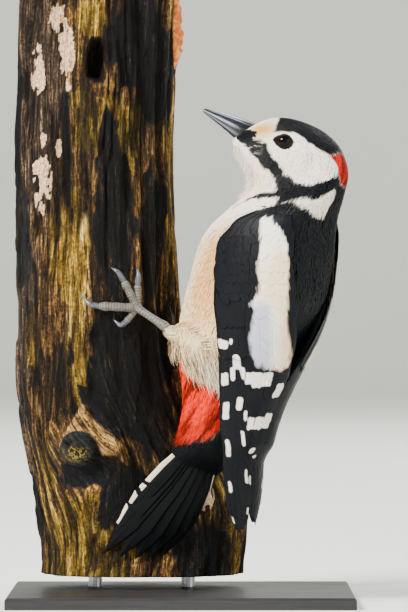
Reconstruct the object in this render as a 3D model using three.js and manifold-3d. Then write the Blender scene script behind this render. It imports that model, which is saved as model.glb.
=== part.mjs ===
// A great spotted woodpecker clinging to a cut length of dead trunk, on a plain display stand.
// Millimetres, +Z up. The origin is the centre of the stand's underside. +X runs from the trunk
// towards the bird's back, and the bird's left side looks towards -Y.
import * as THREE from "three";
import Module from "manifold-3d";

const wasm = await Module();
wasm.setup();

// ---------------------------------------------------------------- driving dimensions
const GAP = 0.3; // free space left between two pieces that touch
const ROUND = 2.25; // power of the ovals: 2 is an ellipse, more is squarer

const STAND = { length: 146, depth: 133, thick: 5, bevel: 1, rodRadius: 3, rodSpread: 20 };

// The trunk: its centre, half-widths across X and Y, and height, from its foot to its sawn top.
const TRUNK = [
  { z: 10.5, x: -17.2, y: 24.0, rx: 43.0, ry: 33.0 },
  { z: 24.0, x: -16.8, y: 23.0, rx: 43.6, ry: 33.0 },
  { z: 40.0, x: -18.6, y: 19.0, rx: 44.0, ry: 32.5 },
  { z: 56.0, x: -22.5, y: 14.0, rx: 42.5, ry: 32.0 },
  { z: 72.0, x: -28.5, y: 9.0, rx: 39.8, ry: 32.0 },
  { z: 92.0, x: -34.0, y: 4.5, rx: 37.0, ry: 32.5 },
  { z: 118.0, x: -36.0, y: 1.0, rx: 34.8, ry: 33.0 },
  { z: 150.0, x: -36.8, y: -1.0, rx: 33.8, ry: 33.0 },
  { z: 190.0, x: -37.3, y: -2.5, rx: 33.0, ry: 32.5 },
  { z: 228.0, x: -36.2, y: -4.0, rx: 33.0, ry: 32.0 },
  { z: 265.0, x: -35.3, y: -5.0, rx: 33.0, ry: 31.5 },
];
const BURL = { z: 46, turn: -14, reach: 3.5, tall: 20, wide: 30 }; // the swelling low on the right
// Rounded ribs of the grain, two for each count, with sharp furrows between; they sway as they
// climb, and lie low where toes and tail press on the wood: turn, height and reach of each place.
const RIBS = { count: 7, reach: 1.15, sway: 0.9, pitch: 38 };
const STILL = [
  { turn: -76, z: 129, wide: 27, tall: 15 }, { turn: -90, z: 27, wide: 30, tall: 15 },
  { turn: 46, z: 112, wide: 24, tall: 14 },
];
const HOLLOW = { turn: -110, z: 54, deep: 2.4, wide: 20, tall: 8 }; // rotted out under the stub
const HOLE = { x: -34.9, z: 228.5, wide: 9.5, tall: 18, deep: 12 }; // an old feeding hole in front
const KNOT = { x: -42.4, z: 65.5, radius: 7.4, proud: 5 }; // the stub of a snapped side branch
const FUNGUS = { z: 243, tall: 33, wide: 9, proud: 2.8, turn: -4 }; // crust on the right edge

// The body from bill to tail: a row of ovals. lean is the angle of each oval's back above the
// horizontal, yaw its turn towards the viewer's side, swing its turn about its own back, depth
// runs from back to belly, width from side to side.
const BODY = [
  { at: "bill base", x: 26.0, y: -43.5, z: 198.6, lean: 34, yaw: 0, swing: 0, depth: 12.1, width: 9.5 },
  { at: "forehead", x: 28.8, y: -43.5, z: 197.6, lean: 45, yaw: 0, swing: 0, depth: 16.8, width: 16.5 },
  { at: "brow", x: 32.1, y: -43.5, z: 196.1, lean: 50, yaw: 0, swing: 0, depth: 22.5, width: 22.0 },
  { at: "eye", x: 36.5, y: -43.5, z: 193.7, lean: 50, yaw: 0, swing: 0, depth: 28.2, width: 25.5 },
  { at: "cheek", x: 40.8, y: -43.5, z: 190.2, lean: 45, yaw: 0, swing: 0, depth: 34.5, width: 28.0 },
  { at: "occiput", x: 44.2, y: -43.3, z: 186.0, lean: 37, yaw: 2, swing: 0, depth: 41.2, width: 30.0 },
  { at: "nape", x: 45.2, y: -42.8, z: 180.4, lean: 27, yaw: 8, swing: 0, depth: 49.1, width: 32.0 },
  { at: "neck", x: 43.8, y: -41.6, z: 172.9, lean: 18, yaw: 18, swing: 0, depth: 56.0, width: 36.0 },
  { at: "neck root", x: 39.8, y: -40.3, z: 164.8, lean: 13, yaw: 28, swing: 0, depth: 59.9, width: 42.0 },
  { at: "shoulder", x: 36.3, y: -37.7, z: 155.6, lean: 10, yaw: 35, swing: 0, depth: 60.9, width: 47.0 },
  { at: "breast", x: 33.8, y: -35.9, z: 141.1, lean: 5, yaw: 38, swing: 0, depth: 62.0, width: 50.0 },
  { at: "belly", x: 30.7, y: -33.5, z: 126.8, lean: 1, yaw: 38, swing: 0, depth: 62.2, width: 50.0 },
  { at: "thighs", x: 25.0, y: -29.6, z: 113.2, lean: -4, yaw: 39, swing: 4, depth: 53.0, width: 46.0 },
  { at: "vent", x: 19.2, y: -25.0, z: 97.0, lean: -12, yaw: 43, swing: 10, depth: 40.0, width: 39.0 },
  { at: "tail coverts", x: 15.0, y: -22.0, z: 79.6, lean: -18, yaw: 52, swing: 20, depth: 27.0, width: 32.0 },
  { at: "tail root", x: 9.8, y: -18.4, z: 67.0, lean: -25, yaw: 64, swing: 30, depth: 20.0, width: 27.0 },
  { at: "coverts' end", x: 4.4, y: -15.8, z: 58.6, lean: -30, yaw: 76, swing: 35, depth: 7.0, width: 22.5 },
];

// The folded left wing, by height: an arc of an oval round the bird's middle, in degrees from the
// middle of the back. lead is the edge towards the breast, trail the edge towards the back.
const WING = [
  { z: 166.5, x: 40.5, y: -40.8, yaw: 27, back: 26.5, side: 20.0, lead: 84, trail: 64, thick: 1.6 },
  { z: 162.0, x: 38.9, y: -39.6, yaw: 31, back: 29.0, side: 23.0, lead: 95, trail: 54, thick: 3.0 },
  { z: 155.0, x: 36.2, y: -37.6, yaw: 35, back: 30.6, side: 25.4, lead: 98, trail: 43, thick: 4.0 },
  { z: 144.0, x: 34.3, y: -36.2, yaw: 38, back: 31.4, side: 26.6, lead: 97, trail: 37, thick: 4.2 },
  { z: 128.0, x: 31.0, y: -33.8, yaw: 38, back: 33.0, side: 26.6, lead: 92, trail: 28, thick: 4.2 },
  { z: 112.0, x: 27.0, y: -31.0, yaw: 38, back: 31.6, side: 25.2, lead: 84, trail: 16, thick: 4.0 },
  { z: 95.0, x: 22.5, y: -28.0, yaw: 40, back: 28.6, side: 22.0, lead: 74, trail: 3, thick: 3.6 },
  { z: 78.0, x: 20.0, y: -27.0, yaw: 43, back: 24.0, side: 19.0, lead: 65, trail: 0, thick: 3.0 },
  { z: 68.0, x: 19.3, y: -27.5, yaw: 46, back: 22.0, side: 17.5, lead: 55, trail: 0, thick: 2.6 },
  { z: 61.5, x: 19.0, y: -28.3, yaw: 48, back: 17.5, side: 16.0, lead: 45, trail: 0, thick: 2.2 },
  { z: 58.0, x: 19.0, y: -28.6, yaw: 49, back: 16.5, side: 16.0, lead: 41, trail: 0, thick: 2.0 },
  { z: 50.0, x: 19.0, y: -29.0, yaw: 50, back: 16.0, side: 16.0, lead: 35, trail: 0, thick: 1.8 },
  { z: 41.0, x: 19.3, y: -29.6, yaw: 50, back: 15.0, side: 14.5, lead: 34, trail: 0, thick: 1.4 },
  { z: 35.5, x: 19.8, y: -30.0, yaw: 50, back: 14.0, side: 12.5, lead: 33, trail: 3, thick: 1.1 },
  { z: 32.3, x: 20.0, y: -30.2, yaw: 50, back: 13.6, side: 12.0, lead: 26, trail: 10, thick: 0.9 },
];
const WING_PARTS = { hand: 60.8 }; // below this height the folded hand feathers show alone
const RIGHT_LIFT = 0.1; // the right hand is folded this share shorter than the left

const BILL = {
  gapeX: 32.3, gapeZ: 195.9, tipX: 9.2, tipZ: 208.0, halfWidth: 4.4, tipHalfWidth: 0.9,
  upper: [5.0, 4.6, 4.2, 3.6, 2.8, 1.9, 0.6],
  lower: [5.6, 5.4, 4.2, 3.1, 2.2, 1.4, 0.6],
};

const EYE = { x: 43.3, z: 194.2, radius: 3.7, proud: 1.15 };

const FEET = {
  palm: 2.3,
  left: {
    hip: [12.5, -38.0, 108.5], ankle: [-5.0, -41.0, 116.2], foot: { x: -19.7, z: 125.2, side: -1 },
    toes: [
      { name: 1, x: -24.0, z: 119.0, radius: 1.35, claw: { x: -28.4, z: 120.2, bow: -1.6 } },
      { name: 2, x: -19.2, z: 135.3, radius: 1.45, claw: { x: -19.0, z: 142.0, bow: 0.3 } },
      { name: 3, x: -24.9, z: 136.8, radius: 1.65, claw: { x: -29.4, z: 142.0, bow: 0.8 } },
      { name: 4, x: -34.9, z: 126.0, radius: 1.75, claw: { x: -41.9, z: 131.0, bow: -1.5 } },
    ],
  },
  right: {
    hip: [27.0, -12.5, 107.0], ankle: [15.5, 2.5, 101.5], foot: { x: -2.5, z: 109.0, side: 1 },
    toes: [
      { name: 1, x: -5.0, z: 103.5, radius: 1.35, claw: { x: -8.5, z: 104.2, bow: -1.5 } },
      { name: 2, x: -1.6, z: 118.5, radius: 1.45, claw: { x: -1.9, z: 125.0, bow: 0.4 } },
      { name: 3, x: -7.5, z: 119.6, radius: 1.65, claw: { x: -12.5, z: 124.8, bow: 0.9 } },
      { name: 4, x: -18.0, z: 111.0, radius: 1.75, claw: { x: -25.5, z: 114.8, bow: -1.3 } },
    ],
  },
};

// Tail feathers, five a side from the left outermost in. Each tip is a place on the trunk's front.
const TAIL = {
  root: { x: 10.2, y: -18.6, z: 66.0, spread: 6.4, across: [-0.74, -0.45, 0.5] },
  tips: [
    { x: -25.6, z: 35.1, wide: 7.5 },
    { x: -30.2, z: 26.6, wide: 9.0 },
    { x: -32.6, z: 20.8, wide: 9.5 },
    { x: -26.0, z: 19.2, wide: 10.0 },
    { x: -19.6, z: 18.4, wide: 10.0 },
    { x: -13.2, z: 18.8, wide: 10.0 },
    { x: -7.7, z: 20.2, wide: 10.0 },
    { x: -4.5, z: 22.8, wide: 8.0 },
    { x: -1.6, z: 25.8, wide: 7.0 },
    { x: 0.2, z: 29.6, wide: 5.6 },
  ],
  thick: 0.8,
};

const COLOUR = {
  black: [0x1d2226, 0.55, 0], white: [0xece6dd, 0.8, 0], cream: [0xe3d3ba, 0.85, 0],
  red: [0xd8442a, 0.8, 0], horn: [0x4a4d57, 0.35, 0], eye: [0x2a1712, 0.08, 0],
  foot: [0x8d8a80, 0.6, 0], claw: [0x73748c, 0.35, 0], wood: [0x5a4526, 0.85, 0],
  fungus: [0xe08a45, 0.8, 0], board: [0x2b2b2d, 0.5, 0], steel: [0xb4b6b8, 0.3, 1],
};

// ---------------------------------------------------------------- small tools
const rad = THREE.MathUtils.degToRad;
const vec = (x, y, z) => new THREE.Vector3(x, y, z);

// A smooth curve through numbers at whole places of t (Catmull-Rom).
function smooth(values, t) {
  const i = Math.min(Math.max(Math.floor(t), 0), values.length - 2);
  const f = t - i;
  const [p1, p2] = [values[i], values[i + 1]];
  const p0 = i > 0 ? values[i - 1] : 2 * p1 - p2;
  const p3 = i + 2 < values.length ? values[i + 2] : 2 * p2 - p1;
  const slope = p2 - p0 + f * (2 * p0 - 5 * p1 + 4 * p2 - p3 + f * (3 * (p1 - p2) + p3 - p0));
  return p1 + 0.5 * f * slope;
}

// One row of a table at a place t between its rows.
function rowAt(table, t) {
  const keys = Object.keys(table[0]).filter((k) => typeof table[0][k] === "number");
  return Object.fromEntries(keys.map((k) => [k, smooth(table.map((row) => row[k]), t)]));
}

// The place t in a table whose z falls or rises steadily.
function placeOf(table, z) {
  const sign = Math.sign(table[1].z - table[0].z);
  let i = 0;
  while (i < table.length - 2 && sign * (z - table[i + 1].z) > 0) i += 1;
  let [low, high] = [i, i + 1];
  for (let n = 0; n < 30; n += 1) {
    const middle = (low + high) / 2;
    if (sign * (z - rowAt(table, middle).z) > 0) low = middle;
    else high = middle;
  }
  return (low + high) / 2;
}

// A closed surface through rings of points, each end closed by a fan, with its faces out.
function skinOver(rings) {
  const n = rings[0].length;
  const points = rings.flat();
  const faces = [];
  for (let i = 0; i + 1 < rings.length; i += 1) {
    for (let j = 0; j < n; j += 1) {
      const [a, b] = [i * n + j, i * n + ((j + 1) % n)];
      faces.push([a, b, b + n], [a, b + n, a + n]);
    }
  }
  [[0, 1], [rings.length - 1, -1]].forEach(([ring, turn]) => {
    const middle = rings[ring].reduce((sum, p) => sum.add(p), vec(0, 0, 0)).divideScalar(n);
    points.push(middle);
    for (let j = 0; j < n; j += 1) {
      const [a, b] = [ring * n + j, ring * n + ((j + 1) % n)];
      faces.push(turn > 0 ? [points.length - 1, b, a] : [points.length - 1, a, b]);
    }
  });
  const volume = faces.reduce((sum, [a, b, c]) => sum
    + points[a].dot(vec(0, 0, 0).crossVectors(points[b], points[c])), 0);
  const geometry = new THREE.BufferGeometry().setFromPoints(points);
  geometry.setIndex(faces.flatMap((f) => (volume < 0 ? [f[0], f[2], f[1]] : f)));
  return geometry;
}

// A manifold solid of an indexed geometry whose shared vertices are one.
function solidOf(geometry) {
  return new wasm.Manifold(new wasm.Mesh({
    numProp: 3,
    vertProperties: new Float32Array(geometry.getAttribute("position").array),
    triVerts: new Uint32Array(geometry.index.array),
  }));
}

const solidOver = (rings) => solidOf(skinOver(rings));

// The biggest piece of a solid, without the crumbs that a cut can leave.
function mainPiece(solid) {
  return solid.decompose().reduce((a, b) => (a.volume() > b.volume() ? a : b));
}

const model = new THREE.Group();

// Adds a solid to the model as a named mesh.
function place(name, solid, [colour, roughness, metalness]) {
  const mesh = mainPiece(solid).getMesh();
  const geometry = new THREE.BufferGeometry();
  geometry.setAttribute("position", new THREE.BufferAttribute(mesh.vertProperties, 3));
  geometry.setIndex(new THREE.BufferAttribute(mesh.triVerts, 1));
  const material = new THREE.MeshStandardMaterial({ color: colour, roughness, metalness });
  const node = new THREE.Mesh(geometry, material);
  node.name = name;
  model.add(node);
}

// A ball, as rings from pole to pole.
function ball(centre, radius, around = 12) {
  const rings = [];
  for (let i = 0; i <= around / 2; i += 1) {
    const up = Math.PI * (0.02 + 0.96 * i / (around / 2));
    rings.push(Array.from({ length: around }, (_, j) => {
      const turn = 2 * Math.PI * j / around;
      return vec(Math.sin(up) * Math.cos(turn), Math.sin(up) * Math.sin(turn), Math.cos(up))
        .multiplyScalar(radius).add(centre);
    }));
  }
  return solidOver(rings);
}

// A round tube of changing radius along a line of points.
function tube(line, radii, around = 8) {
  const curve = new THREE.CatmullRomCurve3(line);
  const steps = radii.length - 1;
  const side = vec(0.31, 0.87, 0.39);
  return solidOver(radii.map((radius, i) => {
    const ahead = curve.getTangent(i / steps);
    const a = vec(0, 0, 0).crossVectors(ahead, side).normalize();
    const b = vec(0, 0, 0).crossVectors(ahead, a);
    return Array.from({ length: around }, (_, j) => {
      const turn = 2 * Math.PI * j / around;
      return curve.getPoint(i / steps).addScaledVector(a, radius * Math.cos(turn))
        .addScaledVector(b, radius * Math.sin(turn));
    });
  }));
}

// ---------------------------------------------------------------- the trunk
// A bell round a place on the trunk, 1 at its middle; flat makes its top flatter.
function bell(turn, z, place, flat = 1) {
  const off = Math.atan2(Math.sin(turn - rad(place.turn)), Math.cos(turn - rad(place.turn)));
  return Math.exp(-(((off / rad(place.wide)) ** 2 + ((z - place.z) / place.tall) ** 2) ** flat));
}

// How far the ribs of the grain stand out at a place, less the hollow under the stub.
function ribs(turn, z) {
  const warped = turn + 0.2 * Math.sin(2 * turn + z / 90) + 0.12 * Math.sin(3 * turn - z / 50);
  const wave = Math.abs(Math.sin(RIBS.count * warped + RIBS.sway * Math.sin(z / RIBS.pitch)));
  const strong = 0.8 + 0.35 * Math.sin(3 * turn + z / 60);
  const still = STILL.reduce((rest, place) => rest * (1 - 0.9 * bell(turn, z, place, 2)), 1);
  return RIBS.reach * (2 * wave - 1.27) * strong * still - HOLLOW.deep * bell(turn, z, HOLLOW);
}

// How far the trunk's skin stands from its centre line at a turn round it, from +X towards +Y.
function trunkPoint(turn, z, swell = 0) {
  const row = rowAt(TRUNK, placeOf(TRUNK, z));
  const off = Math.atan2(Math.sin(turn - rad(BURL.turn)), Math.cos(turn - rad(BURL.turn)));
  const burl = BURL.reach * Math.exp(-((off / rad(BURL.wide)) ** 2) - ((z - BURL.z) / BURL.tall) ** 2);
  const waves = 0.9 * Math.sin(5 * turn + z / 70) + 0.6 * Math.sin(9 * turn - z / 45);
  const more = 1 + (burl + waves + ribs(turn, z) + swell) / row.rx;
  return vec(row.x + row.rx * more * Math.cos(turn), row.y + row.ry * more * Math.sin(turn), z);
}

function trunkSolid(swell, around = 56, tall = 14) {
  const [foot, top] = [TRUNK[0].z, TRUNK[TRUNK.length - 1].z];
  return solidOver(Array.from({ length: tall + 1 }, (_, i) => {
    const z = foot + (top - foot) * i / tall + (i === 0 ? -swell : 0);
    return Array.from({ length: around }, (_, j) => trunkPoint(2 * Math.PI * j / around, z, swell));
  }));
}

// The point of the trunk's front skin at a place x, z, and how it faces there.
function onTrunk(x, z, off = 0) {
  let best = null;
  for (let i = 0; i <= 720; i += 1) {
    const p = trunkPoint(-Math.PI + Math.PI * i / 720, z);
    if (!best || Math.abs(p.x - x) < Math.abs(best.x - x)) best = p;
  }
  const row = rowAt(TRUNK, placeOf(TRUNK, z));
  const out = vec((best.x - row.x) / row.rx ** 2, (best.y - row.y) / row.ry ** 2, 0).normalize();
  return { at: best.addScaledVector(out, off), out };
}

// The same on the far side of the trunk, past its right edge.
function behindTrunk(x, z, off = 0) {
  let best = null;
  for (let i = 0; i <= 720; i += 1) {
    const p = trunkPoint(Math.PI * i / 720, z);
    if (!best || Math.abs(p.x - x) < Math.abs(best.x - x)) best = p;
  }
  const row = rowAt(TRUNK, placeOf(TRUNK, z));
  const out = vec((best.x - row.x) / row.rx ** 2, (best.y - row.y) / row.ry ** 2, 0).normalize();
  return { at: best.addScaledVector(out, off), out };
}

function trunk() {
  const front = onTrunk(KNOT.x, KNOT.z);
  const stub = tube(
    [-6, 0, KNOT.proud].map((d) => front.at.clone().addScaledVector(front.out, d)),
    [KNOT.radius * 1.5, KNOT.radius * 1.15, KNOT.radius], 14,
  );
  const mouth = onTrunk(HOLE.x, HOLE.z);
  const hollow = ball(vec(0, 0, 0), 1, 12).scale([HOLE.wide / 2, HOLE.deep, HOLE.tall / 2])
    .translate(mouth.at.toArray());
  return trunkSolid(0).add(stub).subtract(hollow);
}

function fungus() {
  const tall = 8;
  const rings = Array.from({ length: tall + 1 }, (_, i) => {
    const z = FUNGUS.z + FUNGUS.tall * (i / tall - 0.5);
    const full = Math.sqrt(Math.max(0.06, 1 - (2 * i / tall - 1) ** 2));
    return Array.from({ length: 8 }, (_, j) => {
      const turn = 2 * Math.PI * j / 8;
      const skin = trunkPoint(rad(FUNGUS.turn) + FUNGUS.wide * full / 64 * Math.cos(turn), z);
      return skin.add(vec(FUNGUS.proud * full * (1 + Math.sin(turn)) / 2, 0, 0));
    });
  });
  return solidOver(rings).subtract(trunkSolid(GAP));
}

// ---------------------------------------------------------------- the body
// The power that makes an ellipse's cosine or sine into that of a squarer oval.
const squarer = (c) => Math.sign(c) * Math.abs(c) ** (2 / ROUND);

// A point of the body's skin: t counts the ovals from the bill, turn runs from the back to the left.
function bodyPoint(t, turn, swell = 0) {
  const s = rowAt(BODY, t);
  const [yaw, lean, swing] = [rad(s.yaw), rad(s.lean), rad(s.swing)];
  const back = vec(Math.cos(lean) * Math.cos(yaw), -Math.cos(lean) * Math.sin(yaw), Math.sin(lean));
  const left = vec(-Math.sin(yaw), -Math.cos(yaw), 0);
  const headward = vec(0, 0, 0).crossVectors(left, back);
  left.multiplyScalar(Math.cos(swing)).addScaledVector(headward, Math.sin(swing));
  return vec(s.x, s.y, s.z)
    .addScaledVector(back, (s.depth / 2 + swell) * squarer(Math.cos(turn)))
    .addScaledVector(left, (s.width / 2 + swell) * squarer(Math.sin(turn)));
}

function bodyLength(from, to, steps, swell = 0, around = 20) {
  return solidOver(Array.from({ length: steps + 1 }, (_, i) => Array.from({ length: around },
    (_, j) => bodyPoint(from + (to - from) * i / steps, 2 * Math.PI * j / around, swell))));
}

// The eyeball's centre on one side of the head; side is 1 for left and -1 for right.
function eyeCentre(side) {
  let best = null;
  for (let i = 0; i < 80 * 80; i += 1) {
    const [t, turn] = [2 + 4 * (i % 80) / 80, side * (0.5 + 1.6 * Math.floor(i / 80) / 80)];
    const skin = bodyPoint(t, turn);
    const off = Math.hypot(skin.x - EYE.x, skin.z - EYE.z);
    if (!best || off < best.off) best = { off, skin };
  }
  return best.skin.add(vec(0, side * (EYE.radius - EYE.proud), 0));
}

// ---------------------------------------------------------------- the bill
// One jaw: side is 1 above the gape and -1 below it. Its ovals are cut flat along the gape.
function jaw(heights, side) {
  const gape = vec(BILL.tipX - BILL.gapeX, 0, BILL.tipZ - BILL.gapeZ);
  const up = vec(gape.z, 0, -gape.x).normalize().multiplyScalar(side);
  return solidOver(heights.map((height, i) => {
    const along = i / (heights.length - 1);
    const middle = vec(BILL.gapeX, BODY[0].y, BILL.gapeZ).addScaledVector(gape, along)
      .addScaledVector(up, GAP / 2);
    const half = BILL.tipHalfWidth + (BILL.halfWidth - BILL.tipHalfWidth) * (1 - along) ** 1.15;
    return Array.from({ length: 9 }, (_, j) => {
      const turn = Math.PI * j / 8;
      const wide = half * Math.sign(Math.cos(turn)) * Math.abs(Math.cos(turn)) ** 0.75;
      return middle.clone().add(vec(0, wide, 0)).addScaledVector(up, height * Math.sin(turn));
    });
  })).subtract(bodyLength(0, 3, 12, GAP));
}

// ---------------------------------------------------------------- the wings
// A point of the folded wing; side is 1 for the left wing, share runs from lead to trail edge.
function wingPoint(t, share, inward, side) {
  const w = rowAt(WING, t);
  const turn = rad(w.lead + (w.trail - w.lead) * share);
  const yaw = rad(w.yaw);
  const back = (w.back - inward) * squarer(Math.cos(turn));
  const lift = side < 0 ? RIGHT_LIFT * Math.max(0, WING_PARTS.hand - w.z) : 0;
  const out = Math.max((w.side - inward) * squarer(Math.sin(turn)), GAP) * side;
  return vec(w.x + back * Math.cos(yaw) - out * Math.sin(yaw),
    w.y - back * Math.sin(yaw) - out * Math.cos(yaw), w.z + lift);
}

function wingLength(from, to, steps, side, grow = 0) {
  const across = 8;
  return solidOver(Array.from({ length: steps + 1 }, (_, i) => {
    const t = from + (to - from) * i / steps;
    const thick = rowAt(WING, t).thick;
    const share = (j) => j / across + grow * 0.06 * (2 * j / across - 1);
    const outer = Array.from({ length: across + 1 }, (_, j) => wingPoint(t, share(j), -grow, side));
    const inner = Array.from({ length: across - 1 },
      (_, j) => wingPoint(t, share(across - j - 1), thick + grow, side));
    return [...outer, ...inner];
  }));
}

// ---------------------------------------------------------------- the tail
// Tail feather i of ten, as a thin pointed blade bowed towards the trunk.
function tailFeather(i) {
  const tip = TAIL.tips[i];
  const middle = (TAIL.tips.length - 1) / 2;
  const fromMiddle = Math.abs(i - middle) - 0.5;
  const end = onTrunk(tip.x, tip.z, 1.0);
  const start = vec(TAIL.root.x, TAIL.root.y, TAIL.root.z)
    .addScaledVector(vec(...TAIL.root.across), TAIL.root.spread * (middle - i) / middle);
  const ahead = end.at.clone().sub(start);
  const across = vec(0, 0, 0).crossVectors(ahead, end.out).normalize();
  const out = vec(0, 0, 0).crossVectors(across, ahead).normalize();
  const stack = (4 - fromMiddle) * 0.45;
  return solidOver([0, 0.3, 0.6, 0.85, 1].map((f) => {
    const half = tip.wide / 2 * Math.min(1, 0.5 + 1.4 * f) * (f > 0.7 ? 1.06 - 3.3 * (f - 0.7) ** 1.02 : 1);
    const bow = 3.2 * Math.sin(Math.PI * f) + stack * (1 - 0.6 * f);
    const centre = start.clone().addScaledVector(ahead, f).addScaledVector(out, bow);
    const wide = Math.max(half, 0.35);
    const thin = TAIL.thick / 2 * (1 - 0.3 * f);
    return [[-1, -0.4], [0, -1], [1, -0.4], [0, 1]].map(([a, b]) => centre.clone()
      .addScaledVector(across, a * wide).addScaledVector(out, b * thin));
  }));
}

// ---------------------------------------------------------------- legs and feet
const PHALANX = [1.1, 1.03, 0.97, 1, 0.6]; // a toe's thickness from palm to claw

function legOf(label, plan) {
  const skinAt = plan.foot.side < 0 ? onTrunk : behindTrunk;
  const palm = skinAt(plan.foot.x, plan.foot.z, FEET.palm + 0.4).at;
  const ankle = vec(...plan.ankle);
  const bark = trunkSolid(GAP);
  const toes = plan.toes.map((toe) => {
    const middle = [(plan.foot.x + toe.x) / 2, (plan.foot.z + toe.z) / 2];
    return {
      ...toe,
      line: [palm, skinAt(...middle, toe.radius + 1.1).at, skinAt(toe.x, toe.z, toe.radius + 0.2).at],
    };
  });
  const foot = toes.reduce((sum, toe) => sum.add(tube(toe.line,
    PHALANX.map((k) => toe.radius * k), 7)),
  ball(palm, FEET.palm, 8)).subtract(bark);
  place(`foot_${label}`, foot, COLOUR.foot);
  toes.forEach((toe) => {
    const end = toe.line[2];
    const half = [(toe.x + toe.claw.x) / 2, (toe.z + toe.claw.z) / 2 + toe.claw.bow];
    const arch = skinAt(half[0], half[1], toe.radius + 0.9).at;
    const point = skinAt(toe.claw.x, toe.claw.z, 0.75).at;
    const claw = tube([end, arch, point], [1.25, 1.15, 0.95, 0.65, 0.3], 6);
    const knuckle = tube(toe.line, PHALANX.map((k) => toe.radius * k + GAP), 7);
    place(`claw_${label}_${toe.name}`, claw.subtract(knuckle).subtract(bark), COLOUR.claw);
  });
  const shank = tube([ankle, ankle.clone().lerp(palm, 0.5), palm], [2.0, 1.6, 1.45, 1.5, 1.7])
    .subtract(ball(palm, FEET.palm + GAP, 8))
    .subtract(toes.reduce((sum, toe) => sum.add(tube(toe.line,
      PHALANX.map((k) => toe.radius * k + GAP), 7)), ball(palm, FEET.palm + GAP, 8)));
  const hip = vec(...plan.hip);
  const drumstick = [hip, hip.clone().lerp(ankle, 0.45), hip.clone().lerp(ankle, 0.85), ankle];
  const fluff = [9.5, 9.3, 8.8, 7.6, 5.4, 2.4];
  const thigh = tube(drumstick, fluff, 12);
  place(`thigh_${label}`, thigh.subtract(bodyLength(8, 16, 28, GAP)).subtract(bark)
    .subtract(foot).subtract(wingLength(0, 12, 24, 1, GAP)).subtract(wingLength(0, 12, 24, -1, GAP)), COLOUR.cream);
  const grown = tube(drumstick, fluff.map((r) => r + GAP), 12);
  place(`shank_${label}`, shank.subtract(grown).subtract(bark), COLOUR.foot);
}

// ---------------------------------------------------------------- the stand
function board() {
  const { length, depth, thick, bevel } = STAND;
  const half = [length / 2, depth / 2];
  const corner = (grow) => [[-1, -1], [1, -1], [1, 1], [-1, 1]]
    .map(([a, b]) => [a * (half[0] - grow), b * (half[1] - grow)]);
  const layer = (grow, z) => corner(grow).map(([x, y]) => vec(x, y, z));
  return solidOver([layer(0, 0), layer(0, thick - bevel), layer(bevel, thick)]);
}

function rod(x, y) {
  const ring = (z) => Array.from({ length: 20 }, (_, j) => vec(
    x + STAND.rodRadius * Math.cos(2 * Math.PI * j / 20),
    y + STAND.rodRadius * Math.sin(2 * Math.PI * j / 20), z));
  return solidOver([ring(STAND.thick), ring(TRUNK[0].z)]);
}

// ---------------------------------------------------------------- the whole
place("stand_base", board(), COLOUR.board);
place("stand_rod_1", rod(TRUNK[0].x - STAND.rodSpread, TRUNK[0].y), COLOUR.steel);
place("stand_rod_2", rod(TRUNK[0].x + STAND.rodSpread, TRUNK[0].y), COLOUR.steel);
place("perch_trunk", trunk(), COLOUR.wood);
place("perch_fungus", fungus(), COLOUR.fungus);

// The body is one form, parted by thin cuts: each length ends a little before the next begins.
const CUT = 0.04; // of the step between two ovals
const LENGTHS = [
  ["head", 0, 5.6, 11, COLOUR.black], ["neck", 5.6, 8.6, 6, COLOUR.white],
  ["torso", 8.6, 13.2, 10, COLOUR.cream], ["rump", 13.2, 16, 7, COLOUR.red],
];
LENGTHS.forEach(([name, from, to, steps, colour]) => {
  let solid = bodyLength(from, to - (name === "rump" ? 0 : CUT), steps);
  if (name === "head") [1, -1].forEach((s) => { solid = solid.subtract(ball(eyeCentre(s), EYE.radius + GAP, 10)); });
  place(name, solid, colour);
});
place("eye_left", ball(eyeCentre(1), EYE.radius, 10), COLOUR.eye);
place("eye_right", ball(eyeCentre(-1), EYE.radius, 10), COLOUR.eye);
place("bill_upper", jaw(BILL.upper, 1), COLOUR.horn);
place("bill_lower", jaw(BILL.lower, -1), COLOUR.horn);

const hand = placeOf(WING, WING_PARTS.hand);
[["left", 1], ["right", -1]].forEach(([label, side]) => {
  const body = bodyLength(6, 16, 34, GAP);
  place(`wing_${label}`, wingLength(0, hand - CUT, 11, side).subtract(body), COLOUR.black);
  place(`wing_tip_${label}`, wingLength(hand, WING.length - 1, 5, side), COLOUR.black);
});

const fan = TAIL.tips.map((_, i) => tailFeather(i)).reduce((a, b) => a.add(b));
place("tail", fan.subtract(trunkSolid(GAP)).subtract(bodyLength(12, 16, 16, GAP)), COLOUR.black);
legOf("left", FEET.left);
legOf("right", FEET.right);

export default model;
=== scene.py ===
"""A great spotted woodpecker clinging to a cut length of dead trunk, as a still museum model.

Metres in Blender; the shapes below are worked out in millimetres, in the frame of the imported
model: +Z up, +X from the trunk towards the bird's back, and the bird's left side towards -Y.
"""
import math

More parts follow.
